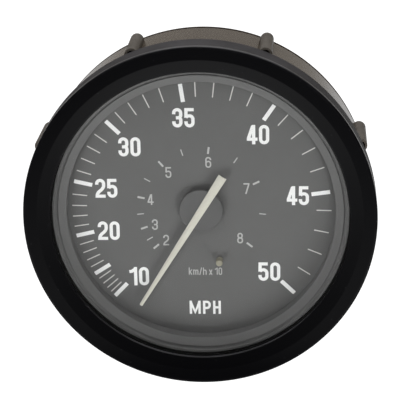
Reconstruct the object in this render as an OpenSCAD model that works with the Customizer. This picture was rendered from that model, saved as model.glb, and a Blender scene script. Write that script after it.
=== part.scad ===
// Panel speedometer that reads water pressure: a dial instrument for a boat's dash.
// The dial faces -Y with 12 o'clock at +Z. The origin is on the dial's axis, in the plane
// where the bezel meets the panel. Inside each module x is right, y is up and z points at the
// viewer; in_frame() turns that into the part's own frame.

/* [Case] */
// Outside diameter of the moulded drum
case_d = 107.8; // [100:0.2:120]
// Length of the drum behind the panel
case_depth = 25.7; // [24.5:0.1:40]
// Wall thickness of the drum
case_wall = 2.4; // [1.6:0.1:3]
// Thickness of the drum's floor
case_floor = 2.4; // [1.6:0.1:3.2]
// Thickness of the rim flange that the bezel is rolled over
flange_t = 1.2; // [0.8:0.1:2]
// Radius of the drum's rear corner
case_corner_r = 1; // [0.4:0.1:2]

/* [Lugs] */
// Number of half-round lugs round the drum
lug_count = 8; // [4:1:12]
// Half width of a lug
lug_r = 2.2; // [1.8:0.1:3]
// How far a lug stands out of the drum
lug_rise = 3.1; // [2.4:0.1:4]
// Distance from the panel plane to a lug's open front end
lug_front = 0.6; // [0.3:0.1:6]
// Length of a lug with its round end
lug_len = 22.4; // [12:0.1:25]
// Shell thickness round a lug's front pocket
lug_shell = 0.7; // [0.5:0.1:1]
// Depth of a lug's front pocket
lug_pocket = 6; // [2:0.1:7]

/* [Bezel] */
// Sheet thickness of the bezel
bezel_wall = 1.2; // [0.8:0.1:1.5]
// How far the bezel's rolled rear lip reaches in behind the rim flange
crimp_w = 0.7; // [0.5:0.1:1.5]
// Width of the bezel's face, from its outside to the opening
bezel_face_w = 8.5; // [6:0.1:11]
// Width of the face's outer land
bezel_land_w = 4.4; // [2:0.1:5]
// How far the land falls inwards
bezel_land_drop = 0.4; // [0.1:0.1:1]
// How far the opening's edge lies behind the bezel's front
bezel_face_drop = 1.3; // [1.1:0.1:4]
// Height of the lip round the opening
bezel_lip_h = 1.2; // [0.8:0.1:2.5]
// Radius of the bezel's front outer edge
bezel_edge_r = 1; // [0.4:0.1:1.1]

/* [Lens and seals] */
// Thickness of the glass
lens_t = 1.6; // [1:0.1:3]
// Thickness of the rubber channel round the glass
gasket_t = 0.5; // [0.3:0.1:1]
// How far the rubber channel shows inside the bezel's opening
gasket_show = 0.3; // [0.1:0.1:0.6]
// Thickness of the seal on the drum's rim
seal_t = 0.5; // [0.3:0.1:1.5]

/* [Mask ring] */
// Thickness of the flange clamped at the rim
mask_flange_t = 2.6; // [1.6:0.1:3]
// Width of the upper land seen inside the bezel
mask_land_w = 1; // [0.7:0.1:1.5]
// Width of the groove inside that land
mask_groove_w = 0.9; // [0.4:0.1:1.5]
// Depth of the groove below the band's outer edge
mask_groove_h = 0.4; // [0.2:0.1:0.8]
// Width of the sloping band
mask_band_w = 2.6; // [1.5:0.1:4]
// Depth of the band's outer edge below the land
mask_step = 0.7; // [0.5:0.1:1.2]
// How far the band rises outwards
mask_rise = 1.4; // [0.4:0.1:1.8]
// Height of the wall from the band's inner edge down to the dial
mask_wall_h = 4; // [2.8:0.1:6]
// Thickness of the wall that comes down to the dial
mask_wall_t = 1.25; // [0.8:0.05:2]
// Thickness of the mask ring's web
mask_web = 1.6; // [1:0.1:2]

/* [Dial] */
// Thickness of the dial plate
dial_t = 0.8; // [0.5:0.1:1.5]
// Width of the dial's rim hidden under the mask ring
dial_rim_w = 3; // [1.5:0.1:4]
// Clearance round the hub in the dial's centre hole
dial_hole_gap = 0.8; // [0.4:0.1:1.5]
// Radius at which the stop pin stands
stop_r = 18.4; // [15:0.1:25]
// Clock angle of the stop pin
stop_angle = 162.4; // [155:0.1:170]
// Diameter of the stop pin
stop_pin_d = 2.2; // [1.2:0.1:3]
// How far the stop pin stands above the pointer
stop_over = 0.4; // [0.1:0.1:1]
// Length of the posts between the dial and the movement
dial_post_len = 4.1; // [2.5:0.1:6]
// Distance of the small end's two posts from the movement's centre line
post_side = 6; // [5:0.1:7]
// Distance of the third post beyond the sector's pivot
post_reach = 10; // [9:0.1:11]
// Distance of the third post from the movement's centre line
post_off = 5; // [4:0.1:6]
// Diameter of a dial post
dial_post_d = 3.2; // [2.8:0.1:4]

/* [Pointer] */
// Clock angle of the pointer at zero speed
zero_angle = -148; // [-155:0.5:-135]
// Gap from the pointer's tip to the mask ring
pointer_gap = 4.9; // [1:0.1:10]
// Length of the tail behind the centre
pointer_tail = 13.4; // [9:0.1:15]
// Width of the blade at the tail
pointer_tail_w = 2.9; // [2:0.1:4]
// Width of the blade at the tip
pointer_tip_w = 1; // [0.6:0.1:1.5]
// Thickness of the blade
pointer_t = 0.6; // [0.4:0.1:1]
// Diameter of the hub disc
hub_d = 14; // [9:0.1:20]
// Thickness of the hub disc
hub_t = 1; // [0.6:0.1:1.5]
// Gap between the dial and the hub disc
hub_gap = 1.2; // [0.5:0.1:1.6]
// Diameter of the hub's boss that passes through the dial
boss_d = 4.8; // [3.6:0.1:6]
// Length of the hub's boss
boss_len = 2.6; // [1.5:0.1:4]

/* [Movement] */
// Thickness of the movement's two plates
plate_t = 1.2; // [0.8:0.1:1.5]
// Clear space between the plates
plate_gap = 6.1; // [5.9:0.1:7]
// Clock angle of the sector's pivot seen from the centre
sector_dir = 120; // [110:1:130]
// Gear module
gear_m = 0.35; // [0.32:0.01:0.38]
// Teeth on the pinion
pinion_teeth = 12; // [12:1:14]
// Teeth that a full sector wheel would have
sector_teeth = 120; // [110:1:126]
// Thinning of each tooth for backlash
tooth_slack = 0.03; // [0.02:0.01:0.06]
// Thickness of the sector
sector_t = 1.2; // [0.8:0.1:1.4]
// Length of the pinion
pinion_len = 2; // [1.6:0.1:2.2]
// Length of the sector's tail, pivot to pin
tail_len = 7; // [5.5:0.1:8]
// Diameter of the two arbors
arbor_d = 2; // [1.6:0.1:2.2]
// Outside diameter of the bushes
bush_d = 4.4; // [3.6:0.1:5]
// Diameter of the pillars between the plates
pillar_d = 3.6; // [3:0.1:4]
// Radius of the plate round the sector's pivot
plate_big_r = 14; // [13:0.1:15]
// Radius of the plate's small end
plate_small_r = 9; // [8.8:0.1:10]
// Distance from the centre to the small end's pillar
plate_reach = 11; // [10.8:0.1:13]
// Width of the plate's middle
plate_w = 17; // [15:0.1:18]
// Distance of the pivot's two pillars from the plate's centre line
pillar_side = 10.5; // [10:0.1:11.2]

/* [Hairspring] */
// Number of turns
hair_turns = 4; // [2:1:6]
// Outside radius of the spiral
hair_r = 6.6; // [5.5:0.1:7]
// Thickness of the strip
hair_strip = 0.2; // [0.15:0.01:0.3]
// Height of the strip
hair_h = 1; // [0.6:0.1:1.2]
// Diameter of the collet
collet_d = 4.8; // [4:0.1:5.5]

/* [Link] */
// Thickness of the link pins' heads
link_head_t = 0.45; // [0.3:0.05:0.6]
// Diameter of the two link pins
link_pin_d = 1.6; // [1.2:0.1:2]
// Thickness of the link
link_t = 1; // [0.6:0.1:1.1]
// Radius of the link's ends
link_end_r = 2.4; // [2.1:0.1:3]
// Width of the link between its ends
link_w = 2.6; // [2:0.1:4]
// Play round the pin at the tube's end of the link
link_play = 0.4; // [0.3:0.05:0.5]

/* [Pressure tube] */
// Height of the flattened tube along the dial's axis
tube_w = 10; // [7:0.1:11]
// Thickness of the flattened tube across its curve
tube_t = 3.2; // [2.4:0.1:4]
// Wall thickness of the tube
tube_wall = 0.4; // [0.3:0.05:0.6]
// Gap from the tube to the drum's wall
tube_case_gap = 9.9; // [8.5:0.1:11]
// Gap from the dial to the tube
tube_dial_gap = 6.6; // [5.5:0.1:8]
// Angle that the tube bends through
tube_sweep = 270; // [262:1:272]
// Wall of the block on the tube's tip
tip_wall = 1.4; // [0.8:0.1:2]
// Length of tube held in the tip block
tip_hold = 3; // [2:0.1:5]
// Length of the tip block past the tube's end
tip_below = 7; // [6.9:0.1:9]
// Distance from the tube's centre line in to the ear's pin
ear_in = 6; // [5.5:0.1:8]
// Distance from the tube's end down to the ear's pin
ear_down = 4.5; // [3:0.1:4.5]

/* [Socket and inlet] */
// Width of the brass socket block
socket_w = 14; // [12:0.1:14.4]
// How far the socket reaches above the centre
socket_top = 4; // [3.9:0.1:4.5]
// Half length of the holder round the tube's root
holder_half = 6; // [4.5:0.1:7]
// Distance of the first movement screw left of the centre
plate_screw_left = 4.4; // [4.2:0.1:4.8]
// Distance of the second movement screw right of the centre
plate_screw_right = 4.5; // [4:0.1:4.8]
// Distance of the second movement screw below the centre
plate_screw_down = 8; // [7.5:0.1:8.5]
// Distance of the upper floor screw below the centre
floor_screw_down = 8; // [6:0.1:10]
// Distance of the inlet below the centre
inlet_down = 22; // [20:0.1:26]
// Diameter of the passages in the socket
passage_d = 2.8; // [2:0.1:3]
// Diameter of the inlet's shank
shank_d = 8; // [6:0.1:9]
// Length of shank inside the socket
shank_len = 4.5; // [3:0.1:5]
// Size of the inlet's hexagon across flats
hex_af = 12; // [11:0.5:16]
// Height of the inlet's hexagon
hex_h = 4; // [3:0.1:6]
// Thickness of the sealing washer
washer_t = 0.6; // [0.4:0.1:1.5]
// Diameter of the hose tail between its barbs
tail_d = 5.4; // [4.5:0.1:6]
// How far a barb stands out of the hose tail
barb_rise = 0.8; // [0.4:0.1:1.2]
// Number of barbs
barb_count = 3; // [2:1:4]
// Length of one barb
barb_len = 4; // [3:0.1:5]
// Gap between two barbs
barb_land = 0.8; // [0.2:0.1:1.5]
// Length of plain tail before the barbs
barb_start = 3; // [2:0.1:5]

/* [Back] */
// Distance between the two mounting studs
stud_spacing = 56; // [50:0.5:66]
// Diameter of the mounting studs
stud_d = 5; // [4:0.5:6]
// Diameter of a stud's root moulded into the floor
stud_root_d = 6.5; // [6.2:0.1:8]
// Length of stud behind the drum
stud_len = 16; // [10:0.5:25]
// Diameter of a stud's head inside the drum
stud_head_d = 9; // [8:0.1:11]
// Thickness of a stud's head
stud_head_t = 1.5; // [1:0.1:2]
// Distance of the lamp above the centre
lamp_up = 27; // [25:0.1:29]
// Diameter of the lamp socket's barrel
lamp_d = 12; // [10:0.1:13]
// How far the lamp's barrel reaches inside the drum
lamp_in = 6; // [4:0.1:8]
// Diameter of the lamp socket's flange
lamp_flange_d = 17; // [15:0.1:19]
// Thickness of the lamp socket's flange
lamp_flange_t = 2; // [1:0.1:3]
// Length of the lamp socket's grip behind its flange
lamp_grip = 6; // [4:0.1:10]
// Diameter of the bulb's glass
bulb_d = 8; // [6:0.1:9]
// Length of the bulb in front of its socket
bulb_len = 9; // [6:0.1:9.5]
// Distance between the two terminal blades
blade_spacing = 6; // [4:0.1:8]
// Width of a terminal blade
blade_w = 6.3; // [4.8:0.1:6.3]
// Thickness of a terminal blade
blade_t = 0.8; // [0.5:0.1:1]
// Length of a terminal blade
blade_len = 8; // [5:0.1:12]

/* [Screws and fits] */
// Diameter of the small screws
screw_d = 1.8; // [1.6:0.1:2]
// Diameter of the small screws' heads
screw_head_d = 3.4; // [3:0.1:3.6]
// Height of the small screws' heads
screw_head_t = 0.9; // [0.7:0.1:1]
// Length of the small screws' threads past what they clamp
screw_bite = 2.4; // [1.5:0.1:2.6]
// Diameter of the screws through the drum's floor
floor_screw_d = 3; // [2.5:0.1:4]
// Diameter of those screws' heads
floor_head_d = 5.8; // [5:0.1:7]
// Height of those screws' heads
floor_head_t = 2; // [1.2:0.1:3]
// Width of a screwdriver slot
slot_w = 0.6; // [0.4:0.1:0.8]
// Clearance of a turning shaft in its bush
run_gap = 0.05; // [0.03:0.01:0.08]
// Clearance of a pressed or screwed piece in its hole
seat_gap = 0.02; // [0.01:0.01:0.05]
// Clearance of a piece that drops into place
drop_gap = 0.2; // [0.1:0.05:0.3]
// Space left between layers that move past each other
layer_gap = 0.2; // [0.15:0.05:0.25]

/* [Hidden] */
$fn = 64;

// Overshoot of a cutting shape past the face it cuts
cut = 1;
// Steps round the bezel's front edge
edge_steps = 6;

// Radii from the drum outwards
case_r = case_d / 2;
case_in_r = case_r - case_wall;
lip_r = case_r + drop_gap;
bezel_in_r = lip_r + crimp_w;
bezel_r = bezel_in_r + bezel_wall;
rim_r = bezel_in_r - drop_gap;
lug_axis_r = case_r + lug_rise - lug_r;

// Radii from the bezel's opening inwards
opening_r = bezel_r - bezel_face_w;
gasket_in_r = opening_r - gasket_show;
channel_r = rim_r - gasket_t;
lens_r = channel_r - seat_gap;
mask_land_r = opening_r - mask_land_w;
mask_groove_r = mask_land_r - mask_groove_w;
mask_in_r = mask_groove_r - mask_band_w;
dial_r = mask_in_r + dial_rim_w;
pointer_tip_r = mask_in_r - pointer_gap;

// Levels along the axis in front of the panel plane
z_rim = bezel_wall + flange_t;
z_mask = z_rim + seal_t;
z_gasket = z_mask + mask_flange_t;
z_lens = z_gasket + gasket_t;
z_glass = z_lens + lens_t;
z_lip = z_glass + gasket_t;
z_opening = z_lip + bezel_lip_h;
z_front = z_opening + bezel_face_drop;
z_band = z_gasket - mask_step - mask_rise;
z_dial = z_band - mask_wall_h;
z_hub = z_dial + hub_gap;
z_blade = z_hub + hub_t;
z_blade_top = z_blade + pointer_t;

// Levels along the axis behind the dial
z_dial_back = z_dial - dial_t;
z_plate = z_dial_back - dial_post_len;
z_plate_back = z_plate - plate_t;
z_head = z_plate_back - screw_head_t - layer_gap / 2;
z_link = z_head - screw_head_t - layer_gap / 2;
z_sector = z_link - link_t - layer_gap;
z_sector_back = z_sector - sector_t;
z_rear = z_plate_back - plate_gap;
z_rear_back = z_rear - plate_t;
z_floor = case_floor - case_depth;
z_back = -case_depth;
z_tube = z_dial_back - tube_dial_gap - tube_w / 2;
z_passage = z_tube - tube_w / 4;
z_washer = z_back - washer_t;
z_hex = z_washer - hex_h;

// Gear sizes
pressure_angle = 20;
pinion_r = gear_m * pinion_teeth / 2;
sector_r = gear_m * sector_teeth / 2;
centre_dist = pinion_r + sector_r;
pinion_addendum = 1;
pinion_dedendum = 0.85;
sector_addendum = 0.65;
sector_dedendum = 1.25;
sector_first = -13;
sector_last = 3;
sector_rim = 2.2;
sector_hub_r = 3.2;
sector_spoke_w = 3;
tail_end_r = 2.6;
flank_steps = 4;

// Layout of the movement; u runs from the centre towards the sector's pivot
frame_angle = 90 - sector_dir;
pillar_spots = [[-plate_reach, 0], [centre_dist, -pillar_side], [centre_dist, pillar_side]];
post_spots = [
    [-plate_reach, -post_side],
    [-plate_reach, post_side],
    [centre_dist + post_reach, -post_off]];
bush_spots = [[0, 0], [centre_dist, 0]];
tube_r = case_in_r - tube_case_gap - tube_t / 2;
ear_spot = [tube_r - ear_in, -ear_down];
tail_spot = in_gauge([centre_dist + tail_len, 0]);
plate_screw_spots = [[-plate_screw_left, 0], [plate_screw_right, -plate_screw_down]];
floor_screw_spots = [[0, -floor_screw_down], [0, -tube_r + holder_half - floor_screw_d]];
hair_inner_r = collet_d / 2 + run_gap + hair_strip / 2;
hair_steps = 24;
tip_half = tube_t / 2 + tip_wall;
tip_half_h = tube_w / 2 + tip_wall;
stop_spot = stop_r * [sin(stop_angle), cos(stop_angle)];

// A point of the movement's own layout, seen in the gauge
function in_gauge(p) = [
    p[0] * cos(frame_angle) - p[1] * sin(frame_angle),
    p[0] * sin(frame_angle) + p[1] * cos(frame_angle)];
// Involute of an angle, in degrees
function inv(a) = tan(a) * 180 / PI - a;
// Half angle of an involute tooth at radius r, for pitch radius rp
function tooth_half(r, rp) =
    let (rb = rp * cos(pressure_angle))
    (PI * gear_m / 2 - tooth_slack) / (2 * rp) * 180 / PI
        + inv(pressure_angle) - (r > rb ? inv(acos(rb / r)) : 0);
function polar(r, a) = [r * cos(a), r * sin(a)];
// Outline of one tooth from root to tip and back, centred on angle a
function tooth_points(a, rp, root, tip) = [
    for (i = [0 : 2 * flank_steps + 1])
        let (
            side = i <= flank_steps ? -1 : 1,
            step = i <= flank_steps ? i : 2 * flank_steps + 1 - i,
            r = root + (tip - root) * step / flank_steps)
        polar(r, a + side * tooth_half(r, rp))];
function spiral_r(a) = hair_inner_r + (hair_r - hair_inner_r) * a / (360 * hair_turns);

module in_frame() {
    rotate([90, 0, 0]) children();
}

module in_movement() {
    rotate(frame_angle) children();
}

// Ring of rectangular section, between two radii and two levels
module ring(r0, r1, z0, z1) {
    rotate_extrude() translate([r0, z0]) square([r1 - r0, z1 - z0]);
}

// Upright cylinder between two levels
module rod(r, z0, z1) {
    translate([0, 0, z0]) cylinder(r = r, h = z1 - z0);
}

// Slab of a flat outline between two levels
module slab(z0, z1) {
    translate([0, 0, z0]) linear_extrude(z1 - z0) children();
}

// Flattened tube section, grown by gap all round
module tube_section(gap) {
    r = tube_t / 2 + gap;
    half = tube_w / 2 - tube_t / 2;
    translate([-r, -half]) square([2 * r, 2 * half]);
    for (s = [-1, 1]) translate([0, s * half]) circle(r);
}

// Arc of tube section from angle a0 through sweep, at the tube's place
module tube_arc(a0, sweep, gap) {
    translate([0, 0, z_tube]) rotate(a0) rotate_extrude(angle = sweep)
        translate([tube_r, 0]) tube_section(gap);
}

// Slotted screw whose head stands from level z up, and whose shank goes down
module screw(d, head_d, head_t, shank, z) {
    difference() {
        rod(head_d / 2, z, z + head_t);
        translate([-head_d, -slot_w / 2, z + head_t / 2]) cube([2 * head_d, slot_w, head_t]);
    }
    rod(d / 2, z - shank, z);
}

module lug() {
    z_end = -lug_front - lug_len + lug_r;
    translate([0, lug_axis_r, 0]) difference() {
        union() {
            rod(lug_r, z_end, -lug_front);
            translate([0, 0, z_end]) sphere(lug_r);
        }
        rod(lug_r - lug_shell, -lug_front - lug_pocket, -lug_front + cut);
    }
}

module case_profile() {
    difference() {
        union() {
            translate([0, z_back]) square([case_r, case_floor]);
            translate([case_in_r, z_back]) square([case_wall, z_rim - z_back]);
            translate([case_in_r, bezel_wall]) square([rim_r - case_in_r, flange_t]);
        }
        translate([case_r - case_corner_r, z_back + case_corner_r]) difference() {
            translate([0, -case_corner_r - cut]) square(case_corner_r + cut);
            circle(case_corner_r);
        }
    }
}

// Hole of radius r through the drum's floor
module floor_hole(p, r) {
    translate(p) rod(r, z_back - cut, z_floor + cut);
}

module case_shell() color("#5a524c") in_frame() difference() {
    union() {
        difference() {
            for (i = [0 : lug_count - 1]) rotate((i + 0.5) * 360 / lug_count) lug();
            rod(case_in_r + cut, z_back - cut, 0);
        }
        rotate_extrude() case_profile();
    }
    for (p = floor_screw_spots) floor_hole(p, floor_screw_d / 2 + drop_gap);
    for (s = [-1, 1]) floor_hole([s * stud_spacing / 2, 0], stud_root_d / 2 + seat_gap);
    floor_hole([0, -inlet_down], shank_d / 2 + drop_gap);
    floor_hole([0, lamp_up], lamp_d / 2 + seat_gap);
}

// Bezel section: rolled rear lip, wall, rounded edge, land, sloping face and lip at the opening
module bezel_profile() {
    land_r = bezel_r - bezel_land_w;
    z_land = z_front - bezel_land_drop;
    slope = (z_land - z_opening) / (land_r - opening_r);
    edge = [bezel_r - bezel_edge_r, z_front - bezel_edge_r];
    polygon(concat(
        [[lip_r, bezel_wall], [lip_r, 0], [bezel_r, 0]],
        [for (i = [0 : edge_steps]) edge + polar(bezel_edge_r, i * 90 / edge_steps)],
        [[land_r, z_land], [opening_r, z_opening], [opening_r, z_lip], [opening_r + bezel_wall, z_lip]],
        [[opening_r + bezel_wall, z_opening - bezel_wall * (1 - slope)], [land_r, z_land - bezel_wall]],
        [[bezel_in_r, z_land - bezel_wall], [bezel_in_r, bezel_wall]]));
}

module bezel_ring() color("#141414") in_frame() rotate_extrude() bezel_profile();

module lens() color("#dfe8ea", 0.35) in_frame() rod(lens_r, z_lens, z_glass);

module lens_gasket() color("#1c1c1c") in_frame() difference() {
    ring(gasket_in_r, rim_r, z_gasket, z_lip);
    rod(channel_r, z_lens, z_glass);
}

module rim_seal() color("#202020") in_frame() ring(case_in_r, rim_r, z_rim, z_mask);

module mask_ring() color("#6a6966") in_frame() rotate_extrude() {
    web_out = case_in_r - drop_gap;
    wall_out = mask_in_r + mask_wall_t;
    z_web = z_band - mask_web;
    z_edge = z_band + mask_rise;
    z_groove = z_edge - mask_groove_h;
    polygon([
        [mask_in_r, z_dial], [wall_out, z_dial], [wall_out, z_web], [web_out, z_web],
        [web_out, z_mask], [rim_r, z_mask], [rim_r, z_gasket], [mask_land_r, z_gasket],
        [mask_land_r, z_groove], [mask_groove_r, z_groove], [mask_groove_r, z_edge], [mask_in_r, z_band]]);
}

module dial_plate() color("#676664") in_frame() difference() {
    rod(dial_r, z_dial_back, z_dial);
    rod(boss_d / 2 + dial_hole_gap, z_dial_back - cut, z_dial + cut);
    translate(stop_spot) rod(stop_pin_d / 2 + seat_gap, z_dial_back - cut, z_dial + cut);
}

module stop_pin() color("#d6cfae") in_frame()
    translate(stop_spot) rod(stop_pin_d / 2, z_dial_back, z_blade_top + stop_over);

module dial_posts() color("#b08d4a") in_frame() in_movement()
    for (p = post_spots) translate(p) difference() {
        rod(dial_post_d / 2, z_plate, z_dial_back);
        rod(screw_d / 2 + seat_gap, z_plate - cut, z_plate + screw_bite + drop_gap);
    }

module dial_screws() color("#c0c0bc") in_frame() in_movement()
    for (p = post_spots) translate([p[0], p[1], z_plate_back])
        mirror([0, 0, 1]) screw(screw_d, screw_head_d, screw_head_t, plate_t + screw_bite, 0);

module pointer_blade() color("#dcd8c6") in_frame() rotate(-zero_angle) slab(z_blade, z_blade_top) polygon([
    [-pointer_tail_w / 2, -pointer_tail], [pointer_tail_w / 2, -pointer_tail],
    [pointer_tip_w / 2, pointer_tip_r], [-pointer_tip_w / 2, pointer_tip_r]]);

module pointer_hub() color("#676664") in_frame() difference() {
    union() {
        rod(hub_d / 2, z_hub, z_blade);
        rod(boss_d / 2, z_hub - boss_len, z_hub);
    }
    rod(arbor_d / 2 + seat_gap, z_hub - boss_len - cut, z_hub);
}

module pointer_arbor() color("#b9bcbf") in_frame() rod(arbor_d / 2, z_rear_back, z_hub);

module pinion() color("#c8a050") in_frame() in_movement() difference() {
    pitch = 360 / pinion_teeth;
    slab(z_sector_back - (pinion_len - sector_t) / 2, z_sector + (pinion_len - sector_t) / 2) polygon([
        for (k = [0 : pinion_teeth - 1]) each tooth_points((k + 0.5) * pitch, pinion_r,
            pinion_r - pinion_dedendum * gear_m, pinion_r + pinion_addendum * gear_m)]);
    rod(arbor_d / 2 + seat_gap, z_rear, z_plate);
}

module hairspring() color("#8f9aa8") in_frame() in_movement() rotate(90) {
    span = 360 * hair_turns;
    angles = [for (i = [0 : hair_turns * hair_steps]) i * 360 / hair_steps];
    slab(z_head - hair_h, z_head) polygon(concat(
        [for (a = angles) polar(spiral_r(a) + hair_strip / 2, a)],
        [for (a = angles) polar(spiral_r(span - a) - hair_strip / 2, span - a)]));
}

module hairspring_collet() color("#c8a050") in_frame()
    ring(arbor_d / 2 + seat_gap, collet_d / 2, z_head - hair_h - layer_gap / 2, z_head + layer_gap / 2);

module hairspring_stud() color("#c8a050") in_frame() in_movement()
    translate([0, hair_r + hair_strip / 2 + screw_d / 2 + run_gap])
        rod(screw_d / 2, z_head - hair_h, z_plate_back);

// Outline shared by both plates
module plate_outline() {
    circle_at = [-plate_reach, centre_dist];
    translate([circle_at[0], 0]) circle(plate_small_r);
    translate([circle_at[1], 0]) circle(plate_big_r);
    translate([-plate_reach, -plate_w / 2]) square([centre_dist + plate_reach, plate_w]);
}

module plate_blank(z) difference() {
    slab(z - plate_t, z) plate_outline();
    for (p = bush_spots) translate(p) rod(bush_d / 2 + seat_gap, z - plate_t - cut, z + cut);
    for (p = pillar_spots) translate(p) rod(screw_d / 2 + seat_gap, z - plate_t - cut, z + cut);
}

module front_plate() color("#c2a15a") in_frame() in_movement() difference() {
    plate_blank(z_plate);
    for (p = post_spots) translate(p) rod(screw_d / 2 + seat_gap, z_plate_back - cut, z_plate + cut);
}

module rear_plate() color("#c2a15a") in_frame() difference() {
    in_movement() plate_blank(z_rear);
    for (p = plate_screw_spots) translate(p) rod(screw_d / 2 + seat_gap, z_rear_back - cut, z_rear + cut);
}

module plate_pillars() color("#b08d4a") in_frame() in_movement() for (p = pillar_spots) translate(p)
    ring(screw_d / 2 + seat_gap, pillar_d / 2, z_rear, z_plate_back);

module pillar_screws() color("#c0c0bc") in_frame() in_movement() for (p = pillar_spots) translate(p) {
    shank = plate_t + min(screw_bite, plate_gap / 2 - drop_gap);
    screw(screw_d, screw_head_d, screw_head_t, shank, z_plate);
    translate([0, 0, z_rear_back]) mirror([0, 0, 1]) screw(screw_d, screw_head_d, screw_head_t, shank, 0);
}

module arbor_bushes() color("#a9803c") in_frame() in_movement() for (p = bush_spots) translate(p) {
    ring(arbor_d / 2 + run_gap, bush_d / 2, z_plate_back, z_plate);
    ring(arbor_d / 2 + run_gap, bush_d / 2, z_rear_back, z_rear);
}

// Toothed rim, spokes and tail of the sector, with its pivot at the origin
module sector_outline() {
    pitch = 360 / sector_teeth;
    root = sector_r - sector_dedendum * gear_m;
    rim_angles = [for (k = [sector_first : sector_last]) 180 + k * pitch];
    last = len(rim_angles) - 1;
    polygon(concat(
        [for (a = rim_angles) each tooth_points(a, sector_r, root, sector_r + sector_addendum * gear_m)],
        [for (i = [0 : last]) polar(root - sector_rim, rim_angles[last - i])]));
    circle(sector_hub_r);
    for (a = [rim_angles[1], rim_angles[last - 1]]) rotate(a) translate([0, -sector_spoke_w / 2])
        square([root - sector_rim / 2, sector_spoke_w]);
    translate([0, -tail_end_r]) square([tail_len, 2 * tail_end_r]);
    translate([tail_len, 0]) circle(tail_end_r);
}

module sector_gear() color("#c8a050") in_frame() in_movement() translate([centre_dist, 0]) difference() {
    slab(z_sector_back, z_sector) sector_outline();
    rod(arbor_d / 2 + seat_gap, z_rear, z_plate);
    translate([tail_len, 0]) rod(link_pin_d / 2 + seat_gap, z_rear, z_plate);
}

module sector_arbor() color("#b9bcbf") in_frame() in_movement()
    translate([centre_dist, 0]) rod(arbor_d / 2, z_rear_back, z_plate);

// Pin that stands in the sector's layer and holds the link under its head
module link_pin(head_r) {
    rod(link_pin_d / 2, z_sector_back, z_link + layer_gap);
    rod(head_r, z_link + layer_gap, z_link + layer_gap + link_head_t);
}

module tail_pin() color("#b9bcbf") in_frame() translate(tail_spot) link_pin(link_pin_d);

module tip_pin() color("#b9bcbf") in_frame() translate(ear_spot) link_pin(link_pin_d / 2 + 2 * link_play);

module connecting_link() color("#c2a15a") in_frame() difference() {
    run = ear_spot - tail_spot;
    slab(z_link - link_t, z_link) {
        translate(tail_spot) circle(link_end_r);
        translate(ear_spot) circle(link_end_r);
        translate(tail_spot) rotate(atan2(run[1], run[0])) translate([0, -link_w / 2])
            square([norm(run), link_w]);
    }
    translate(tail_spot) rod(link_pin_d / 2 + run_gap, z_rear, z_plate);
    translate(ear_spot) rod(link_pin_d / 2 + link_play, z_rear, z_plate);
}

module tube_tip() color("#b08d4a") in_frame() difference() {
    union() {
        translate([tube_r - tip_half, -tip_below, z_tube - tip_half_h])
            cube([2 * tip_half, tip_below + tip_hold, 2 * tip_half_h]);
        slab(z_sector_back, z_sector) {
            translate(ear_spot) circle(tail_end_r);
            translate(ear_spot - [0, tail_end_r / 2]) square([ear_in, tail_end_r]);
        }
    }
    tube_arc(0, asin(min(1, 2 * tip_hold / tube_r)), drop_gap / 2);
    translate(ear_spot) rod(link_pin_d / 2 + seat_gap, z_rear, z_plate);
}

module bourdon_tube() color("#b87f45") in_frame() difference() {
    tube_arc(0, tube_sweep, 0);
    tube_arc(-1, tube_sweep + 2, -tube_wall);
}

module tube_socket() color("#b08d4a") in_frame() difference() {
    entry = asin(socket_w / tube_r);
    union() {
        translate([-socket_w / 2, -tube_r - holder_half, z_floor])
            cube([socket_w, socket_top + tube_r + holder_half, z_rear_back - z_floor]);
        translate([-socket_w / 2, -tube_r - holder_half, z_floor])
            cube([socket_w, 2 * holder_half, z_tube + tip_half_h - z_floor]);
    }
    tube_arc(tube_sweep - entry, entry + asin(passage_d / 2 / tube_r), drop_gap / 2);
    translate([0, -inlet_down]) rod(shank_d / 2 + seat_gap, z_floor - cut, z_floor + shank_len);
    translate([0, -inlet_down]) rod(passage_d / 2, z_floor - cut, z_passage);
    translate([0, -inlet_down, z_passage]) rotate([90, 0, 0])
        cylinder(d = passage_d, h = tube_r - inlet_down);
    rod(arbor_d / 2 + drop_gap, z_rear_back - cut, z_rear_back + cut);
    for (p = plate_screw_spots) translate(p)
        rod(screw_d / 2 + seat_gap, z_rear_back - screw_bite - drop_gap, z_rear);
    for (p = floor_screw_spots) translate(p)
        rod(floor_screw_d / 2 + seat_gap, z_floor - cut, z_floor + floor_screw_d);
}

module movement_screws() color("#c0c0bc") in_frame() for (p = plate_screw_spots) translate(p)
    screw(screw_d, screw_head_d, screw_head_t, plate_t + screw_bite, z_rear);

module socket_screws() color("#c0c0bc") in_frame() for (p = floor_screw_spots) {
    shank = case_floor + floor_screw_d - drop_gap;
    translate([p[0], p[1], z_back]) mirror([0, 0, 1])
        screw(floor_screw_d, floor_head_d, floor_head_t, shank, 0);
}

module inlet_washer() color("#2a2a2a") in_frame() translate([0, -inlet_down])
    ring(shank_d / 2 + drop_gap, hex_af / 2, z_washer, z_back);

module hose_barb() color("#c8a050") in_frame() translate([0, -inlet_down]) difference() {
    z_end = z_hex - barb_start - barb_count * barb_len;
    union() {
        rod(shank_d / 2, z_washer, z_floor + shank_len);
        translate([0, 0, z_hex]) cylinder(d = hex_af / cos(30), h = hex_h, $fn = 6);
        rod(tail_d / 2, z_end, z_hex);
        for (i = [0 : barb_count - 1]) translate([0, 0, z_end + i * barb_len])
            cylinder(r1 = tail_d / 2, r2 = tail_d / 2 + barb_rise, h = barb_len - barb_land);
    }
    rod(passage_d / 2, z_end - cut, z_floor + shank_len + cut);
}

module mounting_studs() color("#c9c9c4") in_frame() for (s = [-1, 1]) translate([s * stud_spacing / 2, 0]) {
    rod(stud_d / 2, z_back - stud_len, z_back);
    rod(stud_root_d / 2, z_back, z_floor);
    rod(stud_head_d / 2, z_floor, z_floor + stud_head_t);
}

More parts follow.
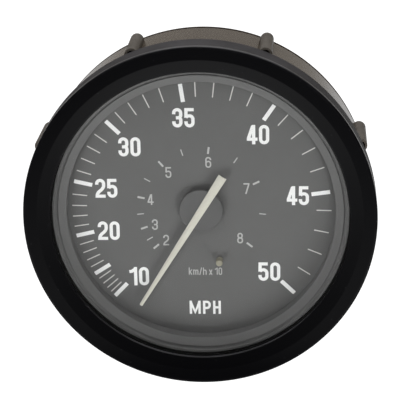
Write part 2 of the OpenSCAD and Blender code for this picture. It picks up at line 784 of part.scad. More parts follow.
module lamp_socket() color("#242424") in_frame() translate([0, lamp_up]) {
    z_flange = z_back - lamp_flange_t;
    difference() {
        rod(lamp_d / 2, z_flange, z_floor + lamp_in);
        rod(bulb_d / 2 + seat_gap, z_floor, z_floor + lamp_in + cut);
    }
    rod(lamp_flange_d / 2, z_flange, z_back);
    rod(lamp_d / 2, z_flange - lamp_grip, z_flange);
}

module lamp_bulb() color("#e8e2c8") in_frame() translate([0, lamp_up]) {
    z_dome = z_floor + lamp_in + bulb_len - bulb_d / 2;
    rod(bulb_d / 2, z_floor, z_dome);
    translate([0, 0, z_dome]) sphere(bulb_d / 2);
}

module lamp_terminals() color("#c9b26a") in_frame() translate([0, lamp_up]) {
    z_root = z_back - lamp_flange_t - lamp_grip;
    for (s = [-1, 1]) translate([s * blade_spacing / 2 - blade_t / 2, -blade_w / 2, z_root - blade_len])
        cube([blade_t, blade_w, blade_len]);
}

case_shell();
bezel_ring();
lens();
lens_gasket();
rim_seal();
mask_ring();
dial_plate();
stop_pin();
dial_posts();
dial_screws();
pointer_blade();
pointer_hub();
pointer_arbor();
pinion();
hairspring();
hairspring_collet();
hairspring_stud();
front_plate();
rear_plate();
plate_pillars();
pillar_screws();
arbor_bushes();
sector_gear();
sector_arbor();
tail_pin();
connecting_link();
tip_pin();
tube_tip();
bourdon_tube();
tube_socket();
movement_screws();
socket_screws();
inlet_washer();
hose_barb();
mounting_studs();
lamp_socket();
lamp_bulb();
lamp_terminals();
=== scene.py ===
"""Looks of a round panel speedometer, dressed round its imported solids.

The dial faces -Y with 12 o'clock at +Z. Sizes in the classes are millimetres in the gauge's own
layout, with x right, y up and z towards the viewer. TO_FRAME turns that into the part's frame.
"""

import functools
import logging
import math
from dataclasses import asdict, dataclass, replace
from enum import Enum
from typing import Any, Sequence

import bmesh
import bpy
from mathutils import Matrix, Vector


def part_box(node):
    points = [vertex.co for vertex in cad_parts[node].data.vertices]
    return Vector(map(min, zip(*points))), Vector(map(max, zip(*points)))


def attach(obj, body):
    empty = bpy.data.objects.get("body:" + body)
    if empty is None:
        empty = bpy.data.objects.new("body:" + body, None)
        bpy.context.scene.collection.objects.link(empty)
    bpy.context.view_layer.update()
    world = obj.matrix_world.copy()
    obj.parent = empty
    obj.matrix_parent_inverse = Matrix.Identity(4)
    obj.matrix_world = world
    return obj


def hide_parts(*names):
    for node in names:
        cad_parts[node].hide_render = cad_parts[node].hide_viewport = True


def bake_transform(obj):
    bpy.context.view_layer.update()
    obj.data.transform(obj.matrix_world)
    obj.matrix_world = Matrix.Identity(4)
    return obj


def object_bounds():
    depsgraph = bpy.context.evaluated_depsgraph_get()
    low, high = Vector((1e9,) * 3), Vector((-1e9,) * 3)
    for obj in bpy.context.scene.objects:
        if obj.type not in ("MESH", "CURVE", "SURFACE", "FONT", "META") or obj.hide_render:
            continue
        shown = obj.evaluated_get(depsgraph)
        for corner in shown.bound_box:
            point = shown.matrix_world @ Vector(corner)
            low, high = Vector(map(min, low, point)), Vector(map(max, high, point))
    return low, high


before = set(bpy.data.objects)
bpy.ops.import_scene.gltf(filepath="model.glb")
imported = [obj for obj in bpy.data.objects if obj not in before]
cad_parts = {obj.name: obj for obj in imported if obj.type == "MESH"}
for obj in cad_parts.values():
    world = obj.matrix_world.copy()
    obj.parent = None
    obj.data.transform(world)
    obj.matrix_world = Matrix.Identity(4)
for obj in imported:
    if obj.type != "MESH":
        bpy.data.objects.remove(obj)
cad_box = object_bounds()

LOG = logging.getLogger("speedometer")
MM = 0.001
TO_FRAME = Matrix.Rotation(math.radians(90), 4, "X") @ Matrix.Scale(MM, 4)
SHARP_ANGLE = math.radians(32)
EDGE_FULL_ANGLE = math.radians(14)
EDGE_MARK = "edge"
TINY = 1e-6
MERGE = 1e-4
INK_FILM = 0.03
# Usual fillets, in millimetres.
HAIR, FINE, SOFT, ROUND = 0.1, 0.2, 0.3, 0.5
# Range of a node's output that is either off or on.
SWITCH = (0.0, 1.0)

Point = tuple[float, float]
Place = tuple[float, float, float]
Colour = tuple[float, float, float]
# Radius from the axis and level of a section's corner and, where it is rounded, its fillet.
Corner = tuple[float, ...]


class Body(Enum):
    """Bodies that a new piece can ride on."""

    CASE = "case"
    POINTER = "pointer"
    TIP = "tip"


class Value:
    """An output in a node tree, which takes plain arithmetic."""

    def __init__(self, graph: "Graph", socket: bpy.types.NodeSocket) -> None:
        """Wrap one socket of a graph."""
        self.graph = graph
        self.socket = socket

    def apply(self, operation: str, *others: Any) -> "Value":
        """Result of a Math node on this value and others."""
        inputs = dict(enumerate((self, *others)))
        return self.graph.add("ShaderNodeMath", inputs, operation=operation)["Value"]

    def mapped(self, across: Sequence[float], onto: Sequence[Any] = SWITCH) -> "Value":
        """The value carried from one range onto another, and held at its ends."""
        names = ("Value", "From Min", "From Max", "To Min", "To Max")
        return self.graph.add("ShaderNodeMapRange", dict(zip(names, (self, *across, *onto))))["Result"]

    __add__ = functools.partialmethod(apply, "ADD")
    __sub__ = functools.partialmethod(apply, "SUBTRACT")
    __mul__ = functools.partialmethod(apply, "MULTIPLY")
    __truediv__ = functools.partialmethod(apply, "DIVIDE")


class Graph:
    """Adds and links nodes in one tree."""

    def __init__(self, tree: bpy.types.NodeTree) -> None:
        """Start with an empty tree."""
        self.tree = tree
        tree.nodes.clear()

    def add(self, kind: str, inputs: dict[Any, Any] | None = None, **settings: Any) -> dict[str, Value]:
        """Add one node.

        Args:
            kind: The node's type name.
            inputs: Constants or values for its inputs, by name or index.
            settings: Properties of the node.

        Returns:
            Its outputs by name.
        """
        node = self.tree.nodes.new(kind)
        for name, value in settings.items():
            setattr(node, name, value)
        for key, value in (inputs or {}).items():
            if isinstance(value, Value):
                self.tree.links.new(value.socket, node.inputs[key])
            else:
                node.inputs[key].default_value = value
        return {output.name: Value(self, output) for output in node.outputs}

    def socket(self, way: str, kind: str, name: str, default: float | None = None) -> None:
        """Add one socket to the tree's interface.

        Args:
            way: INPUT or OUTPUT.
            kind: What the socket carries.
            name: The socket's name.
            default: Its value where nothing sets it.
        """
        made = self.tree.interface.new_socket(name=name, in_out=way, socket_type="NodeSocket" + kind)
        if default is not None:
            made.default_value = default

    def close(self, **outputs: Value) -> bpy.types.NodeTree:
        """Feed the tree's outputs and hand it over."""
        self.add("NodeGroupOutput", outputs)
        return self.tree

    def place(self) -> Value:
        """Object coordinates."""
        return self.add("ShaderNodeTexCoord")["Object"]

    def split(self, vector: Value) -> dict[str, Value]:
        """The parts X, Y and Z of a vector."""
        return self.add("ShaderNodeSeparateXYZ", {"Vector": vector})

    def vector(self, **parts: Value) -> Value:
        """A vector from its parts X, Y and Z."""
        return self.add("ShaderNodeCombineXYZ", parts)["Vector"]

    def noise(self, place: Value, scale: Any, detail: float = 2.0, roughness: float = 0.5) -> Value:
        """Soft noise, from 0 to 1."""
        inputs = {"Vector": place, "Scale": scale, "Detail": detail, "Roughness": roughness}
        return self.add("ShaderNodeTexNoise", inputs)["Fac"]


class ShaderGroups:
    """Effects that several finishes share, each built once."""

    @staticmethod
    def _start(name: str, inputs: dict[str, float], *outputs: str) -> tuple[Graph, dict[str, Value]]:
        """Begin a group with number sockets.

        Args:
            name: The group's name.
            inputs: Names and values of its inputs.
            outputs: Names of its outputs.

        Returns:
            The group's graph and its inputs by name.
        """
        graph = Graph(bpy.data.node_groups.new(name, "ShaderNodeTree"))
        for key, value in inputs.items():
            graph.socket("INPUT", "Float", key, value)
        for key in outputs:
            graph.socket("OUTPUT", "Float", key)
        return graph, graph.add("NodeGroupInput")

    @staticmethod
    @functools.cache
    def grain() -> bpy.types.NodeTree:
        """Fine surface grain as a height, and slow cloudy tone as a factor round one.

        Returns:
            The group.
        """
        inputs = {"Scale": 2000.0, "Tone": 0.05}
        graph, given = ShaderGroups._start("surface_grain", inputs, "Height", "Factor")
        slow_scale, fine_share, slow_share = 0.03, 0.5, 1.5
        place = graph.place()
        fine = graph.noise(place, given["Scale"], detail=3.0, roughness=0.6)
        slow = graph.noise(place, given["Scale"] * slow_scale, detail=4.0)
        swing = (fine * fine_share + slow * slow_share - 1.0) * given["Tone"]
        return graph.close(Height=fine, Factor=swing + 1.0)

    @staticmethod
    @functools.cache
    def wear() -> bpy.types.NodeTree:
        """Mask of the outer edges, from the piece's own edge attribute: rubbed wear on most finishes, partly
        a painted highlight on the bezel's edges and painted shade along the drum's edges.

        Returns:
            The group.
        """
        graph, given = ShaderGroups._start("edge_wear_and_painted_light", {"Amount": 0.3, "Scale": 300.0}, "Mask")
        edge = graph.add("ShaderNodeAttribute", attribute_name=EDGE_MARK)["Fac"]
        patch = graph.noise(graph.place(), given["Scale"], detail=5.0, roughness=0.65)
        whole_from, torn_to = 0.70, 0.25
        return graph.close(Mask=edge * patch.mapped((torn_to, whole_from)) * given["Amount"])

    @staticmethod
    @functools.cache
    def dust() -> bpy.types.NodeTree:
        """Mask of scattered specks and a thin haze that gathers on faces that look up.

        Returns:
            The group.
        """
        graph, given = ShaderGroups._start("settled_dust", {"Amount": 0.1, "Scale": 700.0}, "Mask")
        speck_r, speck_core_r, speck_share, bare_share = 0.16, 0.06, 0.12, 0.6
        sparse_scale, haze_scale = 0.4, 0.12
        steep, level = 0.5, 0.9
        place = graph.place()
        cell = graph.add("ShaderNodeTexVoronoi", {"Vector": place, "Scale": given["Scale"]})["Distance"]
        few = graph.noise(place, given["Scale"] * sparse_scale).apply("GREATER_THAN", bare_share)
        specks = cell.mapped((speck_r, speck_core_r)) * few * speck_share
        haze = graph.noise(place, given["Scale"] * haze_scale, detail=6.0)
        up = graph.split(graph.add("ShaderNodeNewGeometry")["Normal"])["Z"]
        return graph.close(Mask=(specks + up.mapped((steep, level)) * haze) * given["Amount"])

    @staticmethod
    @functools.cache
    def turned() -> bpy.types.NodeTree:
        """Fine rings about an axis along Y, as a lathe leaves them.

        Returns:
            The group.
        """
        graph, given = ShaderGroups._start("turned_rings", {"X": 0.0, "Z": 0.0, "Rings": 9000.0}, "Height")
        place = graph.split(graph.place())
        across, along = place["X"] - given["X"], place["Z"] - given["Z"]
        line = (across * across + along * along).apply("SQRT") + place["Y"]
        inputs = {"W": line * given["Rings"], "Scale": 1.0, "Detail": 2.0}
        return graph.close(Height=graph.add("ShaderNodeTexNoise", inputs, noise_dimensions="1D")["Fac"])


def blank_material(name: str) -> tuple[bpy.types.Material, Graph]:
    """Start a material.

    Args:
        name: The material's name.

    Returns:
        The material and the graph of its empty tree.
    """
    made = bpy.data.materials.new(name)
    made.use_nodes = True
    return made, Graph(made.node_tree)


@dataclass(frozen=True)
class Finish:
    """A painted, moulded, rubber or metal surface; colours are linear."""

    slot: str
    name: str
    colour: Colour
    roughness: float
    metallic: float = 0.0
    specular: float = 0.3
    grain_scale: float = 2200.0
    grain_depth: float = 0.02
    tone: float = 0.10
    rough_swing: float = 0.10
    # Colour and amount laid on outer edges: rubbed wear on most finishes, a painted highlight on the bezel
    # and painted shade on the drum.
    worn_colour: Colour = (0.2, 0.2, 0.2)
    wear: float = 0.0
    dust_colour: Colour = (0.45, 0.43, 0.40)
    dust: float = 0.0
    rings: float = 0.0
    ring_grain: float = 0.4
    axis: Point = (0.0, 0.0)
    bump: float = 0.6

    @functools.cache
    def material(self) -> bpy.types.Material:
        """The finish's material, built when it is first asked for.

        Returns:
            The material.
        """
        made, graph = blank_material(self.name)
        inputs = {"Scale": self.grain_scale, "Tone": self.tone}
        grain = graph.add("ShaderNodeGroup", inputs, node_tree=ShaderGroups.grain())
        inputs = {0: self.colour, "Scale": grain["Factor"]}
        colour = graph.add("ShaderNodeVectorMath", inputs, operation="SCALE")["Vector"]
        for group, amount, cover in ((ShaderGroups.wear, self.wear, self.worn_colour),
                                     (ShaderGroups.dust, self.dust, self.dust_colour)):
            if amount:
                mask = graph.add("ShaderNodeGroup", {"Amount": amount}, node_tree=group())["Mask"]
                inputs = {"Fac": mask, "Color1": colour, "Color2": (*cover, 1.0)}
                colour = graph.add("ShaderNodeMixRGB", inputs)["Color"]
        height = grain["Height"]
        if self.rings:
            inputs = {"Rings": self.rings, "X": self.axis[0] * MM, "Z": self.axis[1] * MM}
            turned = graph.add("ShaderNodeGroup", inputs, node_tree=ShaderGroups.turned())["Height"]
            height = turned + height * self.ring_grain
        half_swing, low_grain, high_grain = self.rough_swing / 2, 0.2, 0.8
        rough = height.mapped((low_grain, high_grain),
                              (self.roughness - half_swing, self.roughness + half_swing))
        inputs = {"Height": height, "Strength": self.bump, "Distance": self.grain_depth * MM}
        normal = graph.add("ShaderNodeBump", inputs)["Normal"]
        shader = graph.add("ShaderNodeBsdfPrincipled", {
            "Base Color": colour, "Roughness": rough, "Metallic": self.metallic,
            "Specular IOR Level": self.specular, "Normal": normal})
        graph.add("ShaderNodeOutputMaterial", {"Surface": shader["BSDF"]})
        return made


@dataclass(frozen=True)
class GlassFinish:
    """Clear glass that lets light fall on what lies behind it."""

    slot: str
    name: str
    tint: Colour
    roughness: float = 0.02
    ior: float = 1.12
    smear: float = 0.03
    smear_scale: float = 900.0
    smear_span: Point = (0.45, 0.8)

    @functools.cache
    def material(self) -> bpy.types.Material:
        """The glass, built when it is first asked for.

        Returns:
            The material.
        """
        made, graph = blank_material(self.name)
        tint = (*self.tint, 1.0)
        grain = graph.add("ShaderNodeGroup", {"Scale": self.smear_scale}, node_tree=ShaderGroups.grain())
        rough = grain["Height"].mapped(self.smear_span, (self.roughness, self.roughness + self.smear))
        glass = graph.add("ShaderNodeBsdfPrincipled", {
            "Base Color": tint, "Roughness": rough, "IOR": self.ior, "Transmission Weight": 1.0})
        clear = graph.add("ShaderNodeBsdfTransparent", {"Color": tint})
        shadow = graph.add("ShaderNodeLightPath")["Is Shadow Ray"]
        mixed = graph.add("ShaderNodeMixShader", {0: shadow, 1: glass["BSDF"], 2: clear["BSDF"]})
        graph.add("ShaderNodeOutputMaterial", {"Surface": mixed["Shader"]})
        return made


AnyFinish = Finish | GlassFinish


class Finishes:
    """Every finish on the gauge."""

    # On both bezel finishes the lighter edge colour is partly rubbed wear and partly a painted highlight
    # along the rounded edges. Their bluish-grey dust colour also lightens the faces that look up.
    bezel = Finish("bezel_black", "satin_black_bezel", (0.0016, 0.0016, 0.0022), 0.30, specular=0.42,
                   grain_scale=1500.0, grain_depth=0.004, rough_swing=0.03, worn_colour=(0.10, 0.10, 0.11),
                   wear=0.08, dust_colour=(0.20, 0.20, 0.215), dust=0.9)
    bezel_side = Finish("bezel_black", "dull_black_bezel_side", (0.0060, 0.0060, 0.0070), 0.62,
                        grain_scale=1900.0, tone=0.25, worn_colour=(0.10, 0.10, 0.11), wear=0.25,
                        dust_colour=(0.215, 0.205, 0.223), dust=0.5)
    # The drum's near-black edge colour is painted shade: it darkens the drum's outer edges, drawing a dark
    # line at its rear edge and groove.
    case = Finish("case_plastic", "warm_grey_moulding", (0.086, 0.063, 0.042), 0.26, specular=0.5,
                  grain_scale=2600.0, grain_depth=0.005, tone=0.22, worn_colour=(0.012, 0.010, 0.008),
                  wear=0.9, dust=0.18)
    lug = Finish("case_plastic", "sandy_grey_lug", (0.118, 0.100, 0.083), 0.52, grain_scale=3200.0,
                 grain_depth=0.05, tone=0.45, worn_colour=(0.30, 0.28, 0.25), wear=0.3, dust=0.15)
    mask = Finish("mask_grey", "mask_grey_paint", (0.138, 0.137, 0.136), 0.55, specular=0.25,
                  grain_scale=2400.0, grain_depth=0.008, tone=0.06)
    dial = Finish("dial_grey", "dial_grey_paint", (0.132, 0.131, 0.130), 0.62, specular=0.2,
                  grain_scale=2600.0, grain_depth=0.006, tone=0.07, dust=0.02)
    hub = replace(mask, slot="hub_grey", name="hub_grey_moulding", colour=(0.112, 0.111, 0.111),
                  roughness=0.58)
    white_ink = Finish("dial_grey", "white_dial_ink", (0.86, 0.86, 0.855), 0.55, specular=0.2,
                       grain_scale=4000.0, grain_depth=0.004, tone=0.05)
    fine_ink = replace(white_ink, name="white_fine_ink", colour=(0.62, 0.61, 0.59))
    grey_ink = replace(white_ink, name="pale_grey_ink", colour=(0.46, 0.46, 0.45), tone=0.06)
    cream = Finish("pointer_cream", "cream_pointer_paint", (0.575, 0.565, 0.505), 0.5, specular=0.25,
                   grain_scale=5200.0, grain_depth=0.01, worn_colour=(0.62, 0.58, 0.46), wear=0.25)
    pin = Finish("pointer_cream", "aged_cream_pin", (0.30, 0.285, 0.225), 0.45,
                 grain_scale=5000.0, grain_depth=0.01, tone=0.15)
    rubber = Finish("rubber_black", "seal_rubber", (0.010, 0.010, 0.010), 0.7, specular=0.2,
                    grain_scale=3000.0, tone=0.2)
    lamp = Finish("lamp_black", "black_lamp_moulding", (0.016, 0.016, 0.016), 0.42, specular=0.4,
                  grain_scale=2600.0, grain_depth=0.015, tone=0.2, worn_colour=(0.10, 0.10, 0.10), wear=0.3,
                  dust=0.08)
    brass = Finish("brass", "stamped_brass", (0.60, 0.41, 0.15), 0.32, metallic=1.0, grain_scale=1800.0,
                   grain_depth=0.008, tone=0.22, worn_colour=(0.80, 0.62, 0.30), wear=0.4)
    turned_brass = replace(brass, name="turned_brass", roughness=0.28, grain_scale=1500.0, tone=0.25,
                           worn_colour=(0.82, 0.64, 0.32), wear=0.5, rings=7000.0, axis=(0.0, -22.0))
    bronze = Finish("bronze", "drawn_bronze", (0.48, 0.27, 0.12), 0.36, metallic=1.0, grain_scale=1600.0,
                    grain_depth=0.008, tone=0.25)
    steel = Finish("steel", "ground_steel", (0.50, 0.51, 0.53), 0.26, metallic=1.0, grain_scale=2600.0,
                   grain_depth=0.005, tone=0.12)
    plated = Finish("plated_steel", "zinc_plated_steel", (0.58, 0.58, 0.54), 0.34, metallic=1.0,
                    grain_scale=1700.0, grain_depth=0.008, tone=0.22, worn_colour=(0.36, 0.33, 0.28),
                    wear=0.35)
    glass = GlassFinish("lens_glass", "clear_front_glass", (0.985, 0.99, 0.988))
    bulb = GlassFinish("bulb_glass", "clear_bulb_glass", (0.95, 0.94, 0.90), ior=1.35)


def span(node: str) -> tuple[Vector, Vector]:
    """Lowest and highest corner of a solid in the gauge's own layout, in millimetres."""
    low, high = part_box(node)
    return Vector((low.x, low.z, -high.y)) / MM, Vector((high.x, high.z, -low.y)) / MM


def middle(node: str) -> Point:
    """Where the middle of a solid stands, seen from the front."""
    low, high = span(node)
    return (low.x + high.x) / 2, (low.y + high.y) / 2


def arc(centre: Sequence[float], radius: float, start: float, stop: float, steps: int) -> list[Point]:
    """Points on an arc about a centre, between two angles in degrees."""
    turns = [math.radians(start + (stop - start) * i / steps) for i in range(steps + 1)]
    return [(centre[0] + radius * math.cos(t), centre[1] + radius * math.sin(t)) for t in turns]


def rounded(corners: Sequence[Corner], steps: int, most: float = 0.49) -> list[Point]:
    """Turn a section with fillets into plain points.

    Args:
        corners: The section's corners in order round it.
        steps: Steps along each fillet.
        most: Share of a side that one fillet may take.

    Returns:
        The points of the section.
    """
    points: list[Point] = []
    for i, (r, z, *fillet) in enumerate(corners):
        if not fillet:
            points.append((r, z))
            continue
        here = Vector((r, z))
        back, ahead = (Vector(corners[j][:2]) - here for j in (i - 1, (i + 1) % len(corners)))
        half = back.angle(ahead) / 2
        reach = min(fillet[0] / math.tan(half), back.length * most, ahead.length * most)
        radius = reach * math.tan(half)
        ways = (back.normalized(), ahead.normalized())
        hub = here + (ways[0] + ways[1]).normalized() * (radius / math.sin(half))
        first, last = (math.degrees(math.atan2(*(here + way * reach - hub).yx)) for way in ways)
        turn = (last - first + 180) % 360 - 180
        points += arc(hub, radius, first, first + turn, steps)
    return points


def supported(points: Sequence[Point], reach: float = 0.3) -> list[Point]:
    """Add a point near both ends of each long side, so that the edge wear and painted edge light stay at the
    corners.

    Args:
        points: The section's points in order round it.
        reach: Distance of the new points from the ends of their side.

    Returns:
        The points with the added ones.
    """
    made: list[Point] = []
    for (r, z), (next_r, next_z) in zip(points, [*points[1:], points[0]]):
        made.append((r, z))
        length = math.dist((r, z), (next_r, next_z))
        if length > 4 * reach and max(r, next_r) > TINY:
            for share in (reach / length, 1 - reach / length):
                made.append((r + (next_r - r) * share, z + (next_z - z) * share))
    return made


def placed(name: str, data: Any) -> bpy.types.Object:
    """Put a new object in the scene.

    Args:
        name: The object's name.
        data: Its mesh, light or camera.

    Returns:
        The object.
    """
    made = bpy.data.objects.new(name, data)
    bpy.context.scene.collection.objects.link(made)
    return made


class Shop:
    """Makes meshes in the gauge's own layout."""

    @staticmethod
    def from_bmesh(shape: bmesh.types.BMesh, name: str) -> bpy.types.Object:
        """Close and orient a shape, mark its outer edges and make it an object.

        Args:
            shape: The shape, which is used up.
            name: The object's name.

        Returns:
            The new object.
        """
        bmesh.ops.remove_doubles(shape, verts=shape.verts, dist=MERGE)
        bmesh.ops.recalc_face_normals(shape, faces=shape.faces)
        layer = shape.verts.layers.float.new(EDGE_MARK)
        for edge in shape.edges:
            bend = edge.calc_face_angle_signed(0.0) / EDGE_FULL_ANGLE
            for vert in edge.verts:
                vert[layer] = max(vert[layer], min(1.0, bend))
        mesh = bpy.data.meshes.new(name)
        shape.to_mesh(mesh)
        shape.free()
        return placed(name, mesh)

    @staticmethod
    def join(name: str, parts: Sequence[bpy.types.Object]) -> bpy.types.Object:
        """Join loose shapes, which are used up, into one object.

        Args:
            name: The joined object's name.
            parts: The shapes.

        Returns:
            The joined object.
        """
        shape = bmesh.new()
        for part in parts:
            shape.from_mesh(part.data)
            bpy.data.objects.remove(part)
        return Shop.from_bmesh(shape, name)

    @staticmethod
    def lathe(name: str, corners: Sequence[Corner], steps: int, segments: int,
              centre: Point = (0.0, 0.0)) -> bpy.types.Object:
        """Turn a section about an axis that runs towards the viewer.

        Args:
            name: The object's name.
            corners: The section's corners in order round it.
            steps: Steps along each fillet.
            segments: Steps round the axis.
            centre: Where the axis stands.

        Returns:
            The turned object.
        """
        shape = bmesh.new()
        rings: list[list[bmesh.types.BMVert]] = []
        for radius, level in supported(rounded(corners, steps)):
            ring = arc(centre, radius, 0, 360, segments)[:-1] if radius > TINY else [centre]
            rings.append([shape.verts.new((x, y, level)) for x, y in ring])
        for here, there in zip(rings, rings[1:] + rings[:1]):
            for i in range(segments):
                pairs = ((here, i), (there, i), (there, i + 1), (here, i + 1))
                face = list(dict.fromkeys(ring[k % len(ring)] for ring, k in pairs))
                if len(face) > 2:
                    shape.faces.new(face)
        return Shop.from_bmesh(shape, name)

    @staticmethod
    def prism(name: str, outline: Sequence[Point], low: float, high: float, chamfer: float = 0.0,
              hole: tuple[Point, float] | None = None) -> bpy.types.Object:
        """Raise a flat outline into a plate with a chamfered front.

        Args:
            name: The object's name.
            outline: The outline's points, counter-clockwise.
            low: Level of the back face.
            high: Level of the front face.
            chamfer: Size of the front edge's chamfer.
            hole: Middle and radius of a round hole.

        Returns:
            The plate.
        """
        hole_steps, sharp = 24, 1.0
        shape = bmesh.new()
        rims = [outline, arc(*hole, 0, 360, hole_steps)[:-1]] if hole else [outline]
        loops = [[shape.verts.new((x, y, low)) for x, y in rim] for rim in rims]
        edges = [shape.edges.new((loop[i - 1], loop[i])) for loop in loops for i in range(len(loop))]
        flat = bmesh.ops.triangle_fill(shape, edges=edges, use_beauty=True)["geom"]
        faces = [g for g in flat if isinstance(g, bmesh.types.BMFace)]
        raised = bmesh.ops.extrude_face_region(shape, geom=faces)["geom"]
        top = [g for g in raised if isinstance(g, bmesh.types.BMVert)]
        bmesh.ops.translate(shape, verts=top, vec=(0, 0, high - low))
        if chamfer:
            front = [e for e in shape.edges if all(abs(v.co.z - high) < TINY for v in e.verts)]
            rim = [e for e in front if not e.is_boundary and e.calc_face_angle(0.0) > sharp]
            bmesh.ops.bevel(shape, geom=rim, offset=chamfer, segments=2, profile=0.5, affect="EDGES")
        return Shop.from_bmesh(shape, name)

    @staticmethod
    def skin(shape: bmesh.types.BMesh, rows: Sequence[Sequence[Any]], closed: bool = False) -> None:
        """Lay a skin over rows of points, with flat ends where it is open.

        Args:
            shape: The shape to add to.
            rows: Points round the skin, one row after another.
            closed: Whether the last row joins the first.
        """
        rings = [[shape.verts.new(point) for point in row] for row in rows]
        for here, there in zip(rings, rings[1:] + (rings[:1] if closed else [])):
            for i in range(len(here)):
                shape.faces.new((here[i - 1], here[i], there[i], there[i - 1]))
        for end in () if closed else (rings[0], rings[-1]):
            shape.faces.new(end)

    @staticmethod
    def loft(name: str, rows: Sequence[Sequence[Any]]) -> bpy.types.Object:
        """Lay a skin with flat ends over rows of points.

        Args:
            name: The object's name.
            rows: Points round the skin, one row after another.

        Returns:
            The new object.
        """
        shape = bmesh.new()
        Shop.skin(shape, rows)
        return Shop.from_bmesh(shape, name)


class Rules:
    """Node trees that make what repeats round the gauge, each built once."""

    @staticmethod
    def _start(name: str, inputs: dict[str, Sequence[str]]) -> tuple[Graph, dict[str, Value]]:
        """Begin a tree with named inputs.

        Args:
            name: The tree's name.
            inputs: Names of the inputs under what their sockets carry.

        Returns:
            The tree's graph and its inputs by name.
        """
        graph = Graph(bpy.data.node_groups.new(name, "GeometryNodeTree"))
        graph.socket("OUTPUT", "Geometry", "Geometry")
        for kind, keys in {"Geometry": ("Geometry",), **inputs, "Material": ("Finish",)}.items():
            for key in keys:
                graph.socket("INPUT", kind, key)
        return graph, graph.add("NodeGroupInput")

    @staticmethod
    def _end(graph: Graph, given: dict[str, Value], shape: Value) -> bpy.types.NodeTree:
        """Realise the instances, give them their finish and close the tree.

        Args:
            graph: The tree's graph.
            given: The tree's inputs, with a finish.
            shape: The geometry that it ends with.

        Returns:
            The tree.
        """
        real = graph.add("GeometryNodeRealizeInstances", {"Geometry": shape})["Geometry"]
        inputs = {"Geometry": real, "Material": given["Finish"]}
        return graph.close(Geometry=graph.add("GeometryNodeSetMaterial", inputs)["Geometry"])

    @staticmethod
    def _spread(graph: Graph, given: dict[str, Value], spot: Value, **copies: Value) -> bpy.types.NodeTree:
        """Set copies of a shape on a count of points and close the tree.

        Args:
            graph: The tree's graph.
            given: The tree's inputs, with a count and a centre.
            spot: Where each point lies.
            copies: Inputs of the node that sets the copies.

        Returns:
            The tree.
        """
        inputs = {"Count": given["Count"], "Offset": (0.0, 0.0, 0.0)}
        points = graph.add("GeometryNodeMeshLine", inputs)["Mesh"]
        inputs = {"Geometry": points, "Position": spot, "Offset": given["Centre"]}
        moved = graph.add("GeometryNodeSetPosition", inputs)["Geometry"]
        made = graph.add("GeometryNodeInstanceOnPoints", {"Points": moved, **copies})["Instances"]
        return Rules._end(graph, given, made)

    @staticmethod
    @functools.cache
    def speed_scale() -> bpy.types.NodeTree:
        """Bars on an arc whose clock angle is a polynomial of the speed.

        Returns:
            The tree.
        """
        graph, given = Rules._start("speed_scale", {
            "Int": ("Count", "Skip Every"), "Vector": ("Centre",),
            "Float": ("First", "Step", "Zero", "Square", "Cube", "Fourth", "Radius", "Length", "Width",
                      "Thickness")})
        half = 0.5
        index = graph.add("GeometryNodeInputIndex")["Index"]
        speed = index * given["Step"] + given["First"]
        rise = (speed * given["Fourth"] + given["Cube"]) * speed + given["Square"]
        clock = speed * speed * rise + given["Zero"]
        radius = given["Radius"] - given["Length"] * half
        spot = graph.vector(X=clock.apply("SINE") * radius, Y=clock.apply("COSINE") * radius,
                            Z=given["Thickness"] * half)
        size = graph.vector(X=given["Width"], Y=given["Length"], Z=given["Thickness"])
        bar = graph.add("GeometryNodeMeshCube", {"Size": size})["Mesh"]
        spare = index.apply("MODULO", given["Skip Every"].apply("MAXIMUM", 1.0))
        left_out = spare.apply("LESS_THAN", half) * given["Skip Every"].apply("GREATER_THAN", half)
        return Rules._spread(graph, given, spot, Instance=bar, Rotation=graph.vector(Z=clock * -1.0),
                             Selection=left_out.apply("LESS_THAN", half))

    @staticmethod
    @functools.cache
    def ring_of_copies() -> bpy.types.NodeTree:
        """Copies of one shape at even steps round a circle, each turned to face out.

        Returns:
            The tree.
        """
        graph, given = Rules._start("ring_of_copies", {
            "Object": ("Source",), "Int": ("Count",), "Float": ("Radius", "Phase"), "Vector": ("Centre",)})
        index = graph.add("GeometryNodeInputIndex")["Index"]
        angle = index / given["Count"] * (2 * math.pi) + given["Phase"]
        spot = graph.vector(X=angle.apply("COSINE") * given["Radius"],
                            Y=angle.apply("SINE") * given["Radius"])
        source = graph.add("GeometryNodeObjectInfo", {"Object": given["Source"]})["Geometry"]
        return Rules._spread(graph, given, spot, Instance=source, Rotation=graph.vector(Z=angle))

    @staticmethod
    @functools.cache
    def screw_thread() -> bpy.types.NodeTree:
        """A four-sided ridge that winds along a stud.

        Returns:
            The tree.
        """
        graph, given = Rules._start("screw_thread", {
            "Float": ("Radius", "Pitch", "Length", "Depth", "Start")})
        turn_steps, sides = 32, 4
        winding = graph.add("GeometryNodeCurveSpiral", {
            "Resolution": turn_steps, "Rotations": given["Length"] / given["Pitch"],
            "Start Radius": given["Radius"], "End Radius": given["Radius"],
            "Height": given["Length"]})["Curve"]
        inputs = {"Resolution": sides, "Radius": given["Depth"]}
        profile = graph.add("GeometryNodeCurvePrimitiveCircle", inputs)["Curve"]
        inputs = {"Curve": winding, "Profile Curve": profile, "Fill Caps": True}
        ridge = graph.add("GeometryNodeCurveToMesh", inputs)["Mesh"]
        inputs = {"Geometry": ridge, "Translation": graph.vector(Z=given["Start"])}
        return Rules._end(graph, given, graph.add("GeometryNodeTransform", inputs)["Geometry"])

    @staticmethod
    @functools.cache
    def merged_strokes() -> bpy.types.NodeTree:
        """Overlapping strokes of lettering united into clean shapes.

        Returns:
            The tree.
        """
        graph, given = Rules._start("merged_strokes", {})
        inputs = {"Mesh 2": given["Geometry"], "Self Intersection": True}
        united = graph.add("GeometryNodeMeshBoolean", inputs, operation="UNION", solver="EXACT")["Mesh"]
        return Rules._end(graph, given, united)

